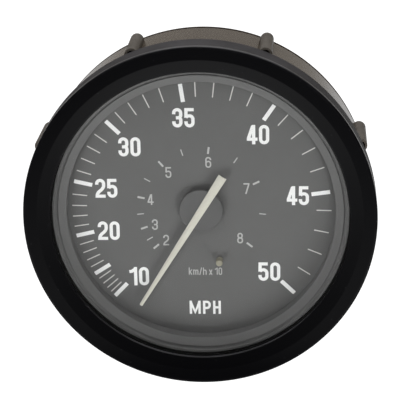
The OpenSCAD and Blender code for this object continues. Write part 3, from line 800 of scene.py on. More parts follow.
    @staticmethod
    def make(name: str, tree: bpy.types.NodeTree, finish: Finish, values: dict[str, Any],
             base: bpy.types.Object | None = None) -> bpy.types.Object:
        """Run a tree and keep its result as a plain mesh.

        Args:
            name: The object's name.
            tree: The tree to run.
            finish: The finish that the result wears.
            values: The tree's other inputs by name.
            base: Shape that the tree starts from, which is used up.

        Returns:
            The made object.
        """
        base = base or placed(name + "_base", bpy.data.meshes.new(name + "_base"))
        modifier = base.modifiers.new("rule", "NODES")
        modifier.node_group = tree
        keys = {item.name: item.identifier for item in tree.interface.items_tree if item.in_out == "INPUT"}
        for key, value in {**values, "Finish": finish.material()}.items():
            modifier[keys[key]] = value
        base.update_tag()
        bpy.context.view_layer.update()
        graph = bpy.context.evaluated_depsgraph_get()
        mesh = bpy.data.meshes.new_from_object(base.evaluated_get(graph), depsgraph=graph)
        base.modifiers.remove(modifier)
        bpy.data.objects.remove(base)
        shape = bmesh.new()
        shape.from_mesh(mesh)
        bpy.data.meshes.remove(mesh)
        return Shop.from_bmesh(shape, name)

    @staticmethod
    def ring(name: str, source: bpy.types.Object, finish: Finish, count: int, radius: float,
             phase: float = 0.0, centre: Place = (0.0, 0.0, 0.0)) -> bpy.types.Object:
        """Set copies of a shape, which is used up, round a circle.

        Args:
            name: The object's name.
            source: The shape.
            finish: The finish that the copies wear.
            count: How many there are.
            radius: Radius of the circle.
            phase: Angle of the first copy, in radians.
            centre: Middle of the circle.

        Returns:
            The made object.
        """
        values = {"Source": source, "Count": count, "Radius": radius, "Phase": phase, "Centre": centre}
        made = Rules.make(name, Rules.ring_of_copies(), finish, values)
        bpy.data.objects.remove(source)
        return made


@dataclass(frozen=True)
class Bend:
    """How a piece gives way to a second body: from where it starts to follow to where it does so fully."""

    body: Body
    start: Place
    end: Place


def show(piece: bpy.types.Object, body: Body, finish: AnyFinish, *nodes: str,
         bend: Bend | None = None) -> None:
    """Move a piece into the part's frame, dress it and hand it over.

    Args:
        piece: The piece, still in the gauge's own layout.
        body: The body that it moves with; with a bend it is only named in the log.
        finish: The finish that it wears.
        nodes: Solids that it stands for.
        bend: A bend towards a second body; only whether one is given is read, and then the piece keeps its
            baked place and is not attached to any body.
    """
    piece.data.transform(TO_FRAME)
    piece.data.shade_smooth()
    piece.data.set_sharp_from_angle(angle=SHARP_ANGLE)
    piece.data.materials.clear()
    piece.data.materials.append(finish.material())
    if bend:
        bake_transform(piece)
    else:
        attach(piece, body.value)
    if nodes:
        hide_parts(*nodes)
    LOG.info("%s rides on %s", piece.name, body.value)


def repaint(finish: AnyFinish, *nodes: str) -> None:
    """Give solids that keep their shape a finish.

    Args:
        finish: The finish that they wear.
        nodes: The solids.
    """
    for node in nodes:
        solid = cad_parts[node]
        solid.data.materials.clear()
        solid.data.materials.append(finish.material())
        LOG.info("%s keeps its shape in %s", node, finish.name)


class StrokeFont:
    """Centre lines of plain condensed figures and letters."""

    turn_step: float = 11.0

    def __init__(self, width: float, height: float, stroke: float, round_r: float) -> None:
        """Set the size of a figure.

        Args:
            width: Outside width of a figure.
            height: Outside height of a figure.
            stroke: Width of the stroke.
            round_r: Radius of the round corners on the centre line.
        """
        self.width = width
        self.half = stroke / 2
        self.w = width - stroke
        self.h = height - stroke
        self.r = min(round_r, self.w / 2)

    def turn(self, x: float, y: float, start: float, stop: float, r: float | None = None) -> list[Point]:
        """A quarter or half turn about a point, in steps of about 11 degrees."""
        steps = int(abs(stop - start) / self.turn_step)
        return arc((x, y), self.r if r is None else r, start, stop, steps)

    def loop(self, x0: float, y0: float, x1: float, y1: float) -> list[Point]:
        """Draw a round-cornered loop.

        Args:
            x0: Its left side.
            y0: Its foot.
            x1: Its right side.
            y1: Its top.

        Returns:
            The loop's points, which end where they start.
        """
        r = min(self.r, (x1 - x0) / 2, (y1 - y0) / 2)
        path = (self.turn(x1 - r, y1 - r, 0, 90, r) + self.turn(x0 + r, y1 - r, 90, 180, r)
                + self.turn(x0 + r, y0 + r, 180, 270, r) + self.turn(x1 - r, y0 + r, 270, 360, r))
        return path + path[:1]

    @staticmethod
    def bend(a: Point, b: Point, c: Point, steps: int = 8) -> list[Point]:
        """Points on a smooth bend from a to c, pulled towards b."""
        turns = [(1 - i / steps, i / steps) for i in range(steps + 1)]
        return [tuple(s * s * a[k] + 2 * s * t * b[k] + t * t * c[k] for k in (0, 1)) for s, t in turns]

    def crown(self) -> list[Point]:
        """The round top from the left side over to the right side."""
        w, h, r = self.w, self.h, self.r
        return self.turn(r, h - r, 180, 90) + self.turn(w - r, h - r, 90, 0)

    def half_three(self, waist: float, tongue: float) -> list[Point]:
        """Draw the upper bowl of a 3.

        Args:
            waist: Radius of the turn into the waist.
            tongue: Where the tongue at the waist ends.

        Returns:
            The points of the bowl.
        """
        w, h = self.w, self.h
        return ([(0, 0.72 * h)] + self.crown() + [(w, h / 2 + waist)]
                + self.turn(w - waist, h / 2 + waist, 0, -90, waist) + [(tongue, h / 2)])

    def strokes(self, sign: str) -> list[list[Point]]:
        """Centre lines of one sign.

        Args:
            sign: The figure or letter.

        Returns:
            The points of each stroke; a closed one ends where it starts.
        """
        w, h, r, e = self.w, self.h, self.r, self.half
        x_height = 0.68 * h
        left, right = ([(x, -e), (x, h + e)] for x in (0, w))
        plans: dict[str, list[list[Point]]] = {
            " ": [],
            "0": [self.loop(0, 0, w, h)],
            "1": [right, [(-e, 0.80 * h), (0.2 * w, 0.82 * h), (w, 0.985 * h)]],
            "2": [[(0, 0.73 * h)] + self.crown() + self.bend((w, 0.68 * h), (w, 0.52 * h), (w / 2, 0.35 * h))
                  + self.bend((w / 2, 0.35 * h), (0, 0.20 * h), (0, 0)) + [(w + e, 0)]],
            "3": [self.half_three(0.8 * r, 0.3 * w),
                  [(x, h - y) for x, y in self.half_three(0.7 * r, 0.37 * w)]],
            "4": [[(0.74 * w, -e), (0.74 * w, h + e)],
                  [(0.62 * w, h + 0.4 * e), (0, 0.27 * h), (0, 0.22 * h), (w + 1.2 * e, 0.22 * h)]],
            "5": [[(w + 0.6 * e, h), (0.03 * w, h), (0, 0.50 * h)],
                  [(0, 0.52 * h), (0.20 * w, 0.60 * h)] + self.turn(w - r, 0.62 * h - r, 90, 0)
                  + self.turn(w - r, r, 0, -90) + self.turn(r, r, 270, 180) + [(0, 0.28 * h)]],
            "6": [self.loop(0, 0, w, 0.6 * h), [(w, 0.74 * h)] + self.crown()[::-1] + [(0, 0.3 * h)]],
            "7": [[(-e, h), (w, h), (w, 0.92 * h), (0.34 * w, -e)]],
            "8": [self.loop(0.05 * w, 0.52 * h, 0.95 * w, h), self.loop(0, 0, w, 0.52 * h)],
            "M": [left, right, [(0, h), (w / 2, 0.06 * h), (w, h)]],
            "P": [left, [(0, h)] + self.turn(w - r, h - r, 90, 0) + self.turn(w - r, 0.44 * h + r, 0, -90)
                  + [(0, 0.44 * h)]],
            "H": [left, right, [(0, h / 2), (w, h / 2)]],
            "k": [left, [(w, x_height + e), (0, 0.28 * h)], [(0.3 * w, 0.42 * h), (w, -e)]],
            "m": [[(0, -e), (0, x_height + e)],
                  self.turn(w / 4, x_height - w / 4, 180, 0, w / 4) + [(w / 2, -e)],
                  self.turn(0.75 * w, x_height - w / 4, 180, 0, w / 4) + [(w, -e)]],
            "/": [[(0, -0.1 * h), (w, 1.08 * h)]],
            "h": [left, self.turn(w / 2, x_height - w / 2, 180, 0, w / 2) + [(w, -e)]],
            "x": [[(0, -e), (w, x_height + e)], [(0, x_height + e), (w, -e)]],
        }
        return plans[sign]


@dataclass(frozen=True)
class Lettering:
    """A size and weight of printed signs, with the middle of each word or number."""

    name: str
    finish: Finish
    width: float
    height: float
    stroke: float
    gap: float
    labels: dict[str, Point]
    wide: float = 1.0
    narrow: float = 0.5
    round_share: float = 0.36
    mitre: float = 0.5

    def build(self, level: float) -> None:
        """Print the labels on a face.

        Args:
            level: Level of the face.
        """
        shape = bmesh.new()
        for text, (x, y) in self.labels.items():
            fonts = [self._font(sign) for sign in text]
            x -= (sum(font.width for font in fonts) + self.gap * (len(fonts) - 1)) / 2
            for sign, font in zip(text, fonts):
                left, base = x + self.stroke / 2, y - self.height / 2 + self.stroke / 2
                for path in font.strokes(sign):
                    self._sweep(shape, [(left + px, base + py) for px, py in path], level)
                x += font.width + self.gap
        strokes = Shop.from_bmesh(shape, self.name + "_strokes")
        made = Rules.make(self.name, Rules.merged_strokes(), self.finish, {}, strokes)
        show(made, Body.CASE, self.finish)

    def _font(self, sign: str) -> StrokeFont:
        """The font box of one sign, wider for M and narrower for a space, slash or one."""
        share = {"M": self.wide, "m": self.wide, " ": self.narrow, "/": 0.8, "1": 0.78}.get(sign, 1.0)
        return StrokeFont(self.width * share, self.height, self.stroke, self.width * self.round_share)

    def _sweep(self, shape: bmesh.types.BMesh, path: Sequence[Point], level: float) -> None:
        """Add one stroke as a flat bar with mitred corners.

        Args:
            shape: The shape to add to.
            path: The stroke's centre line.
            level: Level of the face that it lies on.
        """
        points = [Vector(p) for i, p in enumerate(path) if i == 0 or math.dist(p, path[i - 1]) > MERGE]
        closed = (points[0] - points[-1]).length < MERGE
        ends = points[1:]
        if closed:
            points.pop()
        legs = [(b - a).normalized() for a, b in zip(points, ends)]
        rows = []
        for i, here in enumerate(points):
            come = legs[i - 1] if closed or i else legs[0]
            leave = legs[min(i, len(legs) - 1)]
            normal = Vector((-come.y - leave.y, come.x + leave.x)).normalized()
            side = normal * (self.stroke / 2 / max(self.mitre, normal.dot(Vector((-leave.y, leave.x)))))
            low, high = ([(*(here + side), z), (*(here - side), z)] for z in (level, level + INK_FILM))
            rows.append(low + high[::-1])
        Shop.skin(shape, rows, closed)


@dataclass(frozen=True)
class Law:
    """Clock angle of a speed in degrees: a constant and terms in its square, cube and fourth power."""

    zero: float
    square: float
    cube: float = 0.0
    fourth: float = 0.0


@dataclass(frozen=True)
class Scale:
    """One set of marks round the dial."""

    name: str
    finish: Finish
    law: Law
    count: int
    first: float
    step: float
    radius: float
    length: float
    width: float
    skip_every: int = 0
    centre: Point = (0.0, 0.0)

    def build(self, level: float) -> None:
        """Print the marks on a face.

        Args:
            level: Level of the face.
        """
        values = {"Count": self.count, "First": self.first, "Step": self.step, "Skip Every": self.skip_every,
                  "Radius": self.radius, "Length": self.length, "Width": self.width, "Thickness": INK_FILM,
                  "Centre": (*self.centre, level)}
        values |= {term.title(): math.radians(degrees) for term, degrees in asdict(self.law).items()}
        show(Rules.make(self.name, Rules.speed_scale(), self.finish, values), Body.CASE, self.finish)


@dataclass
class BezelRing:
    """The rolled black ring that clamps the glass, glossy in front and dull round its side."""

    lip_w: float = 1.9
    wall: float = 1.2
    edge_r: float = 0.7
    land_w: float = 4.4
    land_drop: float = 0.4
    land_r: float = 1.6
    face_w: float = 8.5
    face_drop: float = 1.3
    lip_h: float = 1.2
    lip_r: float = 0.25
    heel_r: float = 0.8
    steps: int = 8
    segments: int = 256

    def build(self) -> None:
        """Turn the ring's face and its side."""
        low, high = span("bezel_ring")
        outer, front, back = high.x, high.z, low.z
        inner, opening, land = outer - self.wall, outer - self.face_w, outer - self.land_w
        z_opening, z_land = front - self.face_drop, front - self.land_drop
        seam = z_land - self.wall
        slope = (z_land - z_opening) / (land - opening)
        hook, z_hook = opening + self.wall, z_opening - self.lip_h
        face = [
            (inner, seam), (outer, seam), (outer, front, self.edge_r), (land, z_land, self.land_r),
            (opening, z_opening, self.lip_r), (opening, z_hook, HAIR), (hook, z_hook),
            (hook, z_opening - self.wall * (1 - slope)), (land, seam)]
        made = Shop.lathe("bezel_face", face, self.steps, self.segments)
        show(made, Body.CASE, Finishes.bezel, "bezel_ring")
        lip, shelf = outer - self.lip_w, back + self.wall
        side = [(lip, shelf), (lip, back, ROUND), (outer, back, self.heel_r), (outer, seam), (inner, seam),
                (inner, shelf, SOFT)]
        show(Shop.lathe("bezel_side", side, self.steps, self.segments), Body.CASE, Finishes.bezel_side)


@dataclass
class DrumCase:
    """The moulded drum, with a groove near its rear edge, and its half-round lugs."""

    wall: float = 2.4
    floor: float = 2.4
    floor_r: float = 0.8
    rim_w: float = 0.7
    rim_t: float = 1.2
    rim_r: float = 0.15
    groove_up: float = 0.7
    groove_w: float = 1.6
    groove_d: float = 0.7
    lug_count: int = 8
    lug_axis_r: float = 54.8
    lug_r: float = 2.2
    lug_front: float = 0.6
    lug_len: float = 22.4
    lug_shell: float = 0.7
    lug_pocket: float = 6.0
    lug_chamfer: float = 0.12
    dome_steps: int = 10

    def build(self) -> None:
        """Turn the drum and set the lugs round it."""
        low, high = span("case_shell")
        back, front = low.z, high.z
        rim = span("rim_seal")[1].x
        radius, z_rim = rim - self.rim_w, front - self.rim_t
        inner, inside = radius - self.wall, back + self.floor
        root, groove = radius - self.groove_d, back + self.groove_up
        groove_end = groove + self.groove_w
        section = [
            (0, back), (radius, back, ROUND), (radius, groove, HAIR), (root, groove), (root, groove_end),
            (radius, groove_end, HAIR), (radius, z_rim, self.rim_r), (rim, z_rim, HAIR), (rim, front, HAIR),
            (inner, front, FINE), (inner, inside, self.floor_r), (0, inside)]
        drum = Shop.lathe("drum", section, steps=6, segments=256)
        show(drum, Body.CASE, Finishes.case, "case_shell")
        lug = Shop.lathe("lug", self._lug_section(), steps=1, segments=32)
        phase = math.pi / self.lug_count
        lugs = Rules.ring("drum_lugs", lug, Finishes.lug, self.lug_count, self.lug_axis_r, phase)
        show(lugs, Body.CASE, Finishes.lug)

    def _lug_section(self) -> list[Point]:
        """Section of one lug about its own axis: round rear end, open pocket in front.

        Returns:
            The section's points.
        """
        mouth, tail = -self.lug_front, -self.lug_front - self.lug_len
        pocket, bore = mouth - self.lug_pocket, self.lug_r - self.lug_shell
        dome = arc((0.0, tail + self.lug_r), self.lug_r, -90, 0, self.dome_steps)
        return [(0.0, tail), *dome[1:], (self.lug_r, mouth - self.lug_chamfer),
                (self.lug_r - self.lug_chamfer, mouth), (bore, mouth), (bore, pocket), (0.0, pocket)]


@dataclass
class FrontGlass:
    """The flat glass in its rubber channel."""

    clear: float = 0.05

    def build(self) -> None:
        """Turn the disc."""
        low, high = span("lens")
        back, front = low.z + self.clear, high.z - self.clear
        section = [(0, back), (high.x, back, SOFT), (high.x, front, SOFT), (0, front)]
        disc = Shop.lathe("front_glass", section, steps=3, segments=192)
        show(disc, Body.CASE, Finishes.glass, "lens")


@dataclass
class MaskRing:
    """The stepped grey ring between the glass and the dial."""

    flange_t: float = 2.6
    land_r: float = 46.5
    groove_w: float = 0.9
    groove_h: float = 0.4
    groove_r: float = 0.4
    band_w: float = 2.6
    step: float = 0.7
    rise: float = 1.4
    wall_t: float = 1.25
    web: float = 1.6
    fit: float = 0.2

    def build(self) -> None:
        """Turn the ring, whose body fits the drum's bore."""
        low, high = span("mask_ring")
        outer, front, dial = high.x, high.z, low.z
        groove = self.land_r - self.groove_w
        inner = groove - self.band_w
        edge = front - self.step
        band, z_groove, flange = edge - self.rise, edge - self.groove_h, front - self.flange_t
        body = span("rim_seal")[1].x - DrumCase.rim_w - DrumCase.wall - self.fit
        wall, web = inner + self.wall_t, band - self.web
        section = [
            (inner, dial), (inner, band, SOFT), (groove, edge, FINE), (groove, z_groove, FINE),
            (self.land_r, z_groove, self.groove_r), (self.land_r, front, SOFT), (outer, front, HAIR),
            (outer, flange, HAIR), (body, flange), (body, web), (wall, web), (wall, dial)]
        ring = Shop.lathe("mask", section, steps=4, segments=224)
        show(ring, Body.CASE, Finishes.mask, "mask_ring")


@dataclass
class DialFace:
    """The printed dial and its stop pin."""

    major_law: Law = Law(-146.88, 0.097758, 7.9789e-4, -1.00908e-5)
    minor_law: Law = Law(-146.42, 0.098719, 5.8281e-4, -6.238e-6)
    kmh_law: Law = Law(-148.24, 4.3275)
    mark_r: float = 41.6
    kmh_mark_r: float = 20.8
    white_offset: Point = (-0.1, 0.15)
    fine_offset: Point = (0.0, 0.3)
    pin_dome: float = 0.45

    def scales(self) -> list[Scale]:
        """Marks of both units.

        Returns:
            The four sets of marks.
        """
        return [
            Scale("mph_major_marks", Finishes.white_ink, self.major_law, count=9, first=10.0, step=5.0,
                  radius=self.mark_r, length=5.95, width=1.3, centre=self.white_offset),
            Scale("mph_minor_marks", Finishes.fine_ink, self.minor_law, count=41, first=10.0, step=1.0,
                  radius=self.mark_r, length=4.75, width=0.34, skip_every=5, centre=self.fine_offset),
            Scale("kmh_whole_marks", Finishes.grey_ink, self.kmh_law, count=7, first=2.0, step=1.0,
                  radius=self.kmh_mark_r, length=2.3, width=0.62),
            Scale("kmh_half_marks", Finishes.grey_ink, self.kmh_law, count=6, first=2.5, step=1.0,
                  radius=self.kmh_mark_r, length=2.2, width=0.32)]

    @staticmethod
    def letterings() -> list[Lettering]:
        """Numbers and units in their sizes and weights.

        Returns:
            The four letterings.
        """
        mph = {"10": (-20.7, -23.2), "20": (-30.1, -7.5), "25": (-30.4, 6.9), "30": (-22.5, 20.75),
               "35": (-5.1, 30.3), "40": (18.4, 24.7), "45": (30.9, 4.4), "50": (21.6, -21.5)}
        kmh = {"2": (-11.6, -10.7), "3": (-15.1, -5.4), "4": (-16.3, 3.1), "5": (-10.3, 12.2),
               "6": (2.5, 15.55), "7": (14.55, 6.8), "8": (12.3, -10.0)}
        return [
            Lettering("mph_numbers", Finishes.white_ink, width=3.25, height=6.35, stroke=1.05, gap=0.58,
                      labels=mph),
            Lettering("kmh_numbers", Finishes.grey_ink, width=1.9, height=3.6, stroke=0.46, gap=0.3,
                      labels=kmh),
            Lettering("mph_word", Finishes.white_ink, width=2.55, height=4.6, stroke=0.78, gap=0.75,
                      labels={"MPH": (0.6, -34.0)}, wide=1.42),
            Lettering("kmh_word", Finishes.grey_ink, width=1.15, height=2.5, stroke=0.30, gap=0.3,
                      labels={"km/h x 10": (0.9, -21.4)}, wide=1.45, narrow=0.15)]

    def build(self) -> None:
        """Print the dial and set the pin."""
        repaint(Finishes.dial, "dial_plate")
        level = span("dial_plate")[1].z
        for print_run in (*self.scales(), *self.letterings()):
            print_run.build(level)
        low, high = span("stop_pin")
        radius = (high.x - low.x) / 2
        section = [(0, low.z), (radius, low.z), (radius, high.z, self.pin_dome), (0, high.z)]
        peg = Shop.lathe("stop_peg", section, steps=6, segments=40, centre=middle("stop_pin"))
        show(peg, Body.CASE, Finishes.pin, "stop_pin")


@dataclass
class Pointer:
    """The cream needle on its grey disc."""

    zero_angle: float = -148.0
    tip_r: float = 38.1
    tail: float = 13.4
    tail_w: float = 2.9
    tip_w: float = 1.0
    bevel: float = 0.4
    flat_share: float = 0.34
    boss_r: float = 2.4
    disc_under: float = 1.0

    def build(self) -> None:
        """Cut the needle and turn the disc."""
        low, high = span("pointer_blade")
        turn = Matrix.Rotation(math.radians(-self.zero_angle), 4, "Z")
        rows = []
        for y, width in ((-self.tail, self.tail_w), (self.tip_r, self.tip_w)):
            half, flat = width / 2, width / 2 * self.flat_share
            edge = high.z - self.bevel * width / self.tail_w
            section = ((-half, low.z), (half, low.z), (half, edge), (flat, high.z), (-flat, high.z),
                       (-half, edge))
            rows.append([turn @ Vector((x, y, z)) for x, z in section])
        show(Shop.loft("needle", rows), Body.POINTER, Finishes.cream, "pointer_blade")
        under = low.z - self.disc_under
        low, high = span("pointer_hub")
        section = [(0, low.z), (self.boss_r, low.z, HAIR), (self.boss_r, under), (high.x, under, HAIR),
                   (high.x, high.z, SOFT), (0, high.z)]
        disc = Shop.lathe("needle_disc", section, steps=5, segments=96)
        show(disc, Body.POINTER, Finishes.hub, "pointer_hub")


@dataclass
class RearFittings:
    """What stands out of the drum's floor."""

    stud_r: float = 2.5
    stud_root_r: float = 3.25
    stud_collar: float = 0.1
    collar_r: float = 0.05
    stud_head_r: float = 4.5
    stud_head_t: float = 1.5
    head_r: float = 0.4
    thread_pitch: float = 0.8
    thread_depth: float = 0.28
    thread_start: float = 0.6
    thread_spare: float = 1.4
    screw_r: float = 1.5
    screw_head_r: float = 2.9
    screw_head_t: float = 2.0
    slot_w: float = 0.7
    slot_steps: int = 20
    barb_r: float = 2.7
    barb_rise: float = 0.8
    barb_len: float = 4.0
    barb_land: float = 0.8
    barb_count: int = 3
    barb_root_r: float = 0.15
    barb_rim_r: float = 0.12
    bore_r: float = 1.4
    hex_flat: float = 6.0
    hex_h: float = 4.0
    hex_chamfer: float = 0.35
    hex_grip: float = 0.3
    shank_r: float = 4.0
    lamp_r: float = 6.0
    lamp_end_r: float = 0.6
    lamp_flange_r: float = 8.5
    lamp_flange_t: float = 2.0
    rib_count: int = 18
    rib_r: float = 0.45
    rib_start: float = 0.9
    bulb_r: float = 4.0
    blade_w: float = 6.3
    blade_t: float = 0.8
    blade_chamfer: float = 0.12
    blade_hole_r: float = 0.8
    blade_hole_up: float = 3.4
    blade_nose: float = 1.4

    @property
    def back(self) -> float:
        """Level of the drum's rear face."""
        return span("case_shell")[0].z

    @property
    def floor(self) -> float:
        """Level of the drum's floor inside."""
        return span("mounting_studs")[1].z - self.stud_head_t

    def build(self) -> None:
        """Make every fitting."""
        for make in (self._studs, self._screws, self._barb, self._lamp, self._blades):
            make()

    def _studs(self) -> None:
        """Two threaded studs with their heads inside the drum."""
        low, high = span("mounting_studs")
        core_r, root_r, head_r = self.stud_r - self.thread_depth, self.stud_root_r, self.stud_head_r
        collar = self.back - self.stud_collar
        section = [
            (0, low.z), (core_r, low.z, ROUND), (core_r, collar), (root_r, collar, self.collar_r),
            (root_r, self.floor), (head_r, self.floor, FINE), (head_r, high.z, self.head_r), (0, high.z)]
        core = Shop.lathe("stud_core", section, steps=4, segments=48)
        ridge = Rules.make("stud_ridge", Rules.screw_thread(), Finishes.plated, {
            "Radius": core_r, "Pitch": self.thread_pitch, "Length": self.back - low.z - self.thread_spare,
            "Depth": self.thread_depth, "Start": low.z + self.thread_start})
        stud = Shop.join("stud", (core, ridge))
        studs = Rules.ring("studs", stud, Finishes.plated, count=2, radius=-low.x - head_r)
        show(studs, Body.CASE, Finishes.plated, "mounting_studs")

    def _screws(self) -> None:
        """Two slotted screws that hold the socket block."""
        low, high = span("socket_screws")
        head_r, slot_floor = self.screw_head_r, self.back - self.screw_head_t / 2
        section = [(0, slot_floor), (head_r, slot_floor), (head_r, self.back, HAIR),
                   (self.screw_r, self.back), (self.screw_r, high.z, SOFT), (0, high.z)]
        parts = [Shop.lathe("screw_shank", section, steps=4, segments=48)]
        cut = math.degrees(math.acos(self.slot_w / 2 / head_r))
        for start in (180 - cut, -cut):
            outline = arc((0.0, 0.0), head_r, start, start + 2 * cut, self.slot_steps)
            parts.append(Shop.prism("screw_half", outline, self.back - self.screw_head_t, slot_floor))
        screw = Shop.join("screw", parts)
        reach = (high.y - low.y) / 2 - head_r
        screws = Rules.ring("floor_screws", screw, Finishes.plated, count=2, radius=reach, phase=math.pi / 2,
                            centre=(0.0, middle("socket_screws")[1], 0.0))
        show(screws, Body.CASE, Finishes.plated, "socket_screws")

    def _barb(self) -> None:
        """The hose tail with its hexagon, barbs and bore."""
        low, high = span("hose_barb")
        centre = middle("hose_barb")
        nut = span("inlet_washer")[0].z
        root = nut - self.hex_h
        tail: list[Corner] = [(self.bore_r, low.z, FINE)]
        for i in range(self.barb_count):
            start = low.z + i * self.barb_len
            rim = start + self.barb_len - self.barb_land
            tail += [(self.barb_r, start, self.barb_root_r),
                     (self.barb_r + self.barb_rise, rim, self.barb_rim_r), (self.barb_r, rim)]
        tail += [(self.barb_r, root), (self.shank_r, root), (self.shank_r, high.z, SOFT),
                 (self.bore_r, high.z)]
        turned = Shop.lathe("barb_tail", tail, steps=4, segments=64, centre=centre)
        plan = arc(centre, self.hex_flat / math.cos(math.pi / 6), 0, 360, 6)[:-1]
        bore = (centre, self.shank_r - self.hex_grip)
        hexagon = Shop.prism("barb_hex", plan, root, nut, self.hex_chamfer, bore)
        show(Shop.join("hose_tail", (turned, hexagon)), Body.CASE, Finishes.turned_brass, "hose_barb")

    def _lamp(self) -> None:
        """The lamp holder with its ribbed grip."""
        low, high = span("lamp_socket")
        centre = middle("lamp_socket")
        flange, flange_r = self.back - self.lamp_flange_t, self.lamp_flange_r
        section = [
            (0, low.z), (self.lamp_r, low.z, self.lamp_end_r), (self.lamp_r, flange, SOFT),
            (flange_r, flange, ROUND), (flange_r, self.back, SOFT), (self.lamp_r, self.back),
            (self.lamp_r, high.z, SOFT), (self.bulb_r, high.z, FINE), (self.bulb_r, self.floor),
            (0, self.floor)]
        holder = Shop.lathe("lamp_holder", section, steps=5, segments=72, centre=centre)
        show(holder, Body.CASE, Finishes.lamp, "lamp_socket")
        start = low.z + self.rib_start
        section = [(0, start), (self.rib_r, start, FINE), (self.rib_r, flange), (0, flange)]
        rib = Shop.lathe("lamp_rib", section, steps=4, segments=12)
        ribs = Rules.ring("lamp_ribs", rib, Finishes.lamp, self.rib_count, self.lamp_r, centre=(*centre, 0.0))
        show(ribs, Body.CASE, Finishes.lamp)

    def _blades(self) -> None:
        """Two flat push-on blades with a nose and a latch hole."""
        low, high = span("lamp_terminals")
        half, half_t, shoulder = self.blade_w / 2, self.blade_t / 2, low.z + self.blade_nose
        tip = half - self.blade_nose
        plan = [(shoulder, -half), (high.z, -half), (high.z, half), (shoulder, half), (low.z, tip),
                (low.z, -tip)]
        hole = ((low.z + self.blade_hole_up, 0.0), self.blade_hole_r)
        y = middle("lamp_terminals")[1]
        parts = []
        for x in (low.x + half_t, high.x - half_t):
            blade = Shop.prism("blade", plan, -half_t, half_t, self.blade_chamfer, hole)
            blade.data.transform(Matrix(((0, 0, 1, x), (0, 1, 0, y), (1, 0, 0, 0), (0, 0, 0, 1))))
            parts.append(blade)
        show(Shop.join("lamp_blades", parts), Body.CASE, Finishes.brass, "lamp_terminals")


@dataclass
class PressureTube:
    """The curved flat tube that lifts its tip block when the pressure rises."""

    thick: float = 3.2
    sweep: float = 270.0
    steps: int = 108
    cap_end: float = 165.0
    cap_steps: int = 11
    still_x: float = 0.0
    lifted_x: float = 37.5

    def build(self) -> None:
        """Sweep the tube's section from the tip block round to the socket."""
        low, high = span("bourdon_tube")
        half = self.thick / 2
        radius, level, straight = high.y - half, (low.z + high.z) / 2, (high.z - low.z) / 2 - half
        cap = arc((0.0, straight), half, 0, self.cap_end, self.cap_steps)
        section = cap + [(-across, -up) for across, up in cap]
        turns = [math.radians(self.sweep * i / self.steps) for i in range(self.steps + 1)]
        rows = [[((radius + across) * math.cos(t), (radius + across) * math.sin(t), level + up)
                 for across, up in section] for t in turns]
        bend = Bend(Body.TIP, (self.still_x, 0.0, 0.0), (self.lifted_x, 0.0, 0.0))
        show(Shop.loft("pressure_tube", rows), Body.CASE, Finishes.bronze, "bourdon_tube", bend=bend)


class Movement:
    """Solids inside the drum, which keep their shape."""

    finishes: dict[AnyFinish, tuple[str, ...]] = {
        Finishes.rubber: ("lens_gasket", "rim_seal", "inlet_washer"),
        Finishes.brass: ("dial_posts", "pinion", "hairspring_collet", "hairspring_stud", "front_plate",
                         "rear_plate", "plate_pillars", "arbor_bushes", "sector_gear", "connecting_link",
                         "tube_tip", "tube_socket"),
        Finishes.steel: ("pointer_arbor", "sector_arbor", "tail_pin", "tip_pin", "hairspring"),
        Finishes.plated: ("dial_screws", "pillar_screws", "movement_screws"),
        Finishes.bulb: ("lamp_bulb",)}

    def build(self) -> None:
        """Give each solid its finish."""
        for finish, nodes in self.finishes.items():
            repaint(finish, *nodes)


@dataclass(frozen=True)
class Softbox:
    """A square light that looks at the part: its place and side in metres, its power in watts."""

    name: str
    place: Place
    side: float
    power: float
    mirrored: bool = False

    def build(self) -> None:
        """Hang the light where the camera doesn't see it."""
        data = bpy.data.lights.new(self.name, "AREA")
        data.size = self.side
        data.energy = self.power
        lamp = placed(self.name, data)
        lamp.location = self.place
        lamp.rotation_euler = (-Vector(self.place)).to_track_quat("-Z", "Y").to_euler()
        lamp.visible_camera = False
        lamp.visible_glossy = self.mirrored


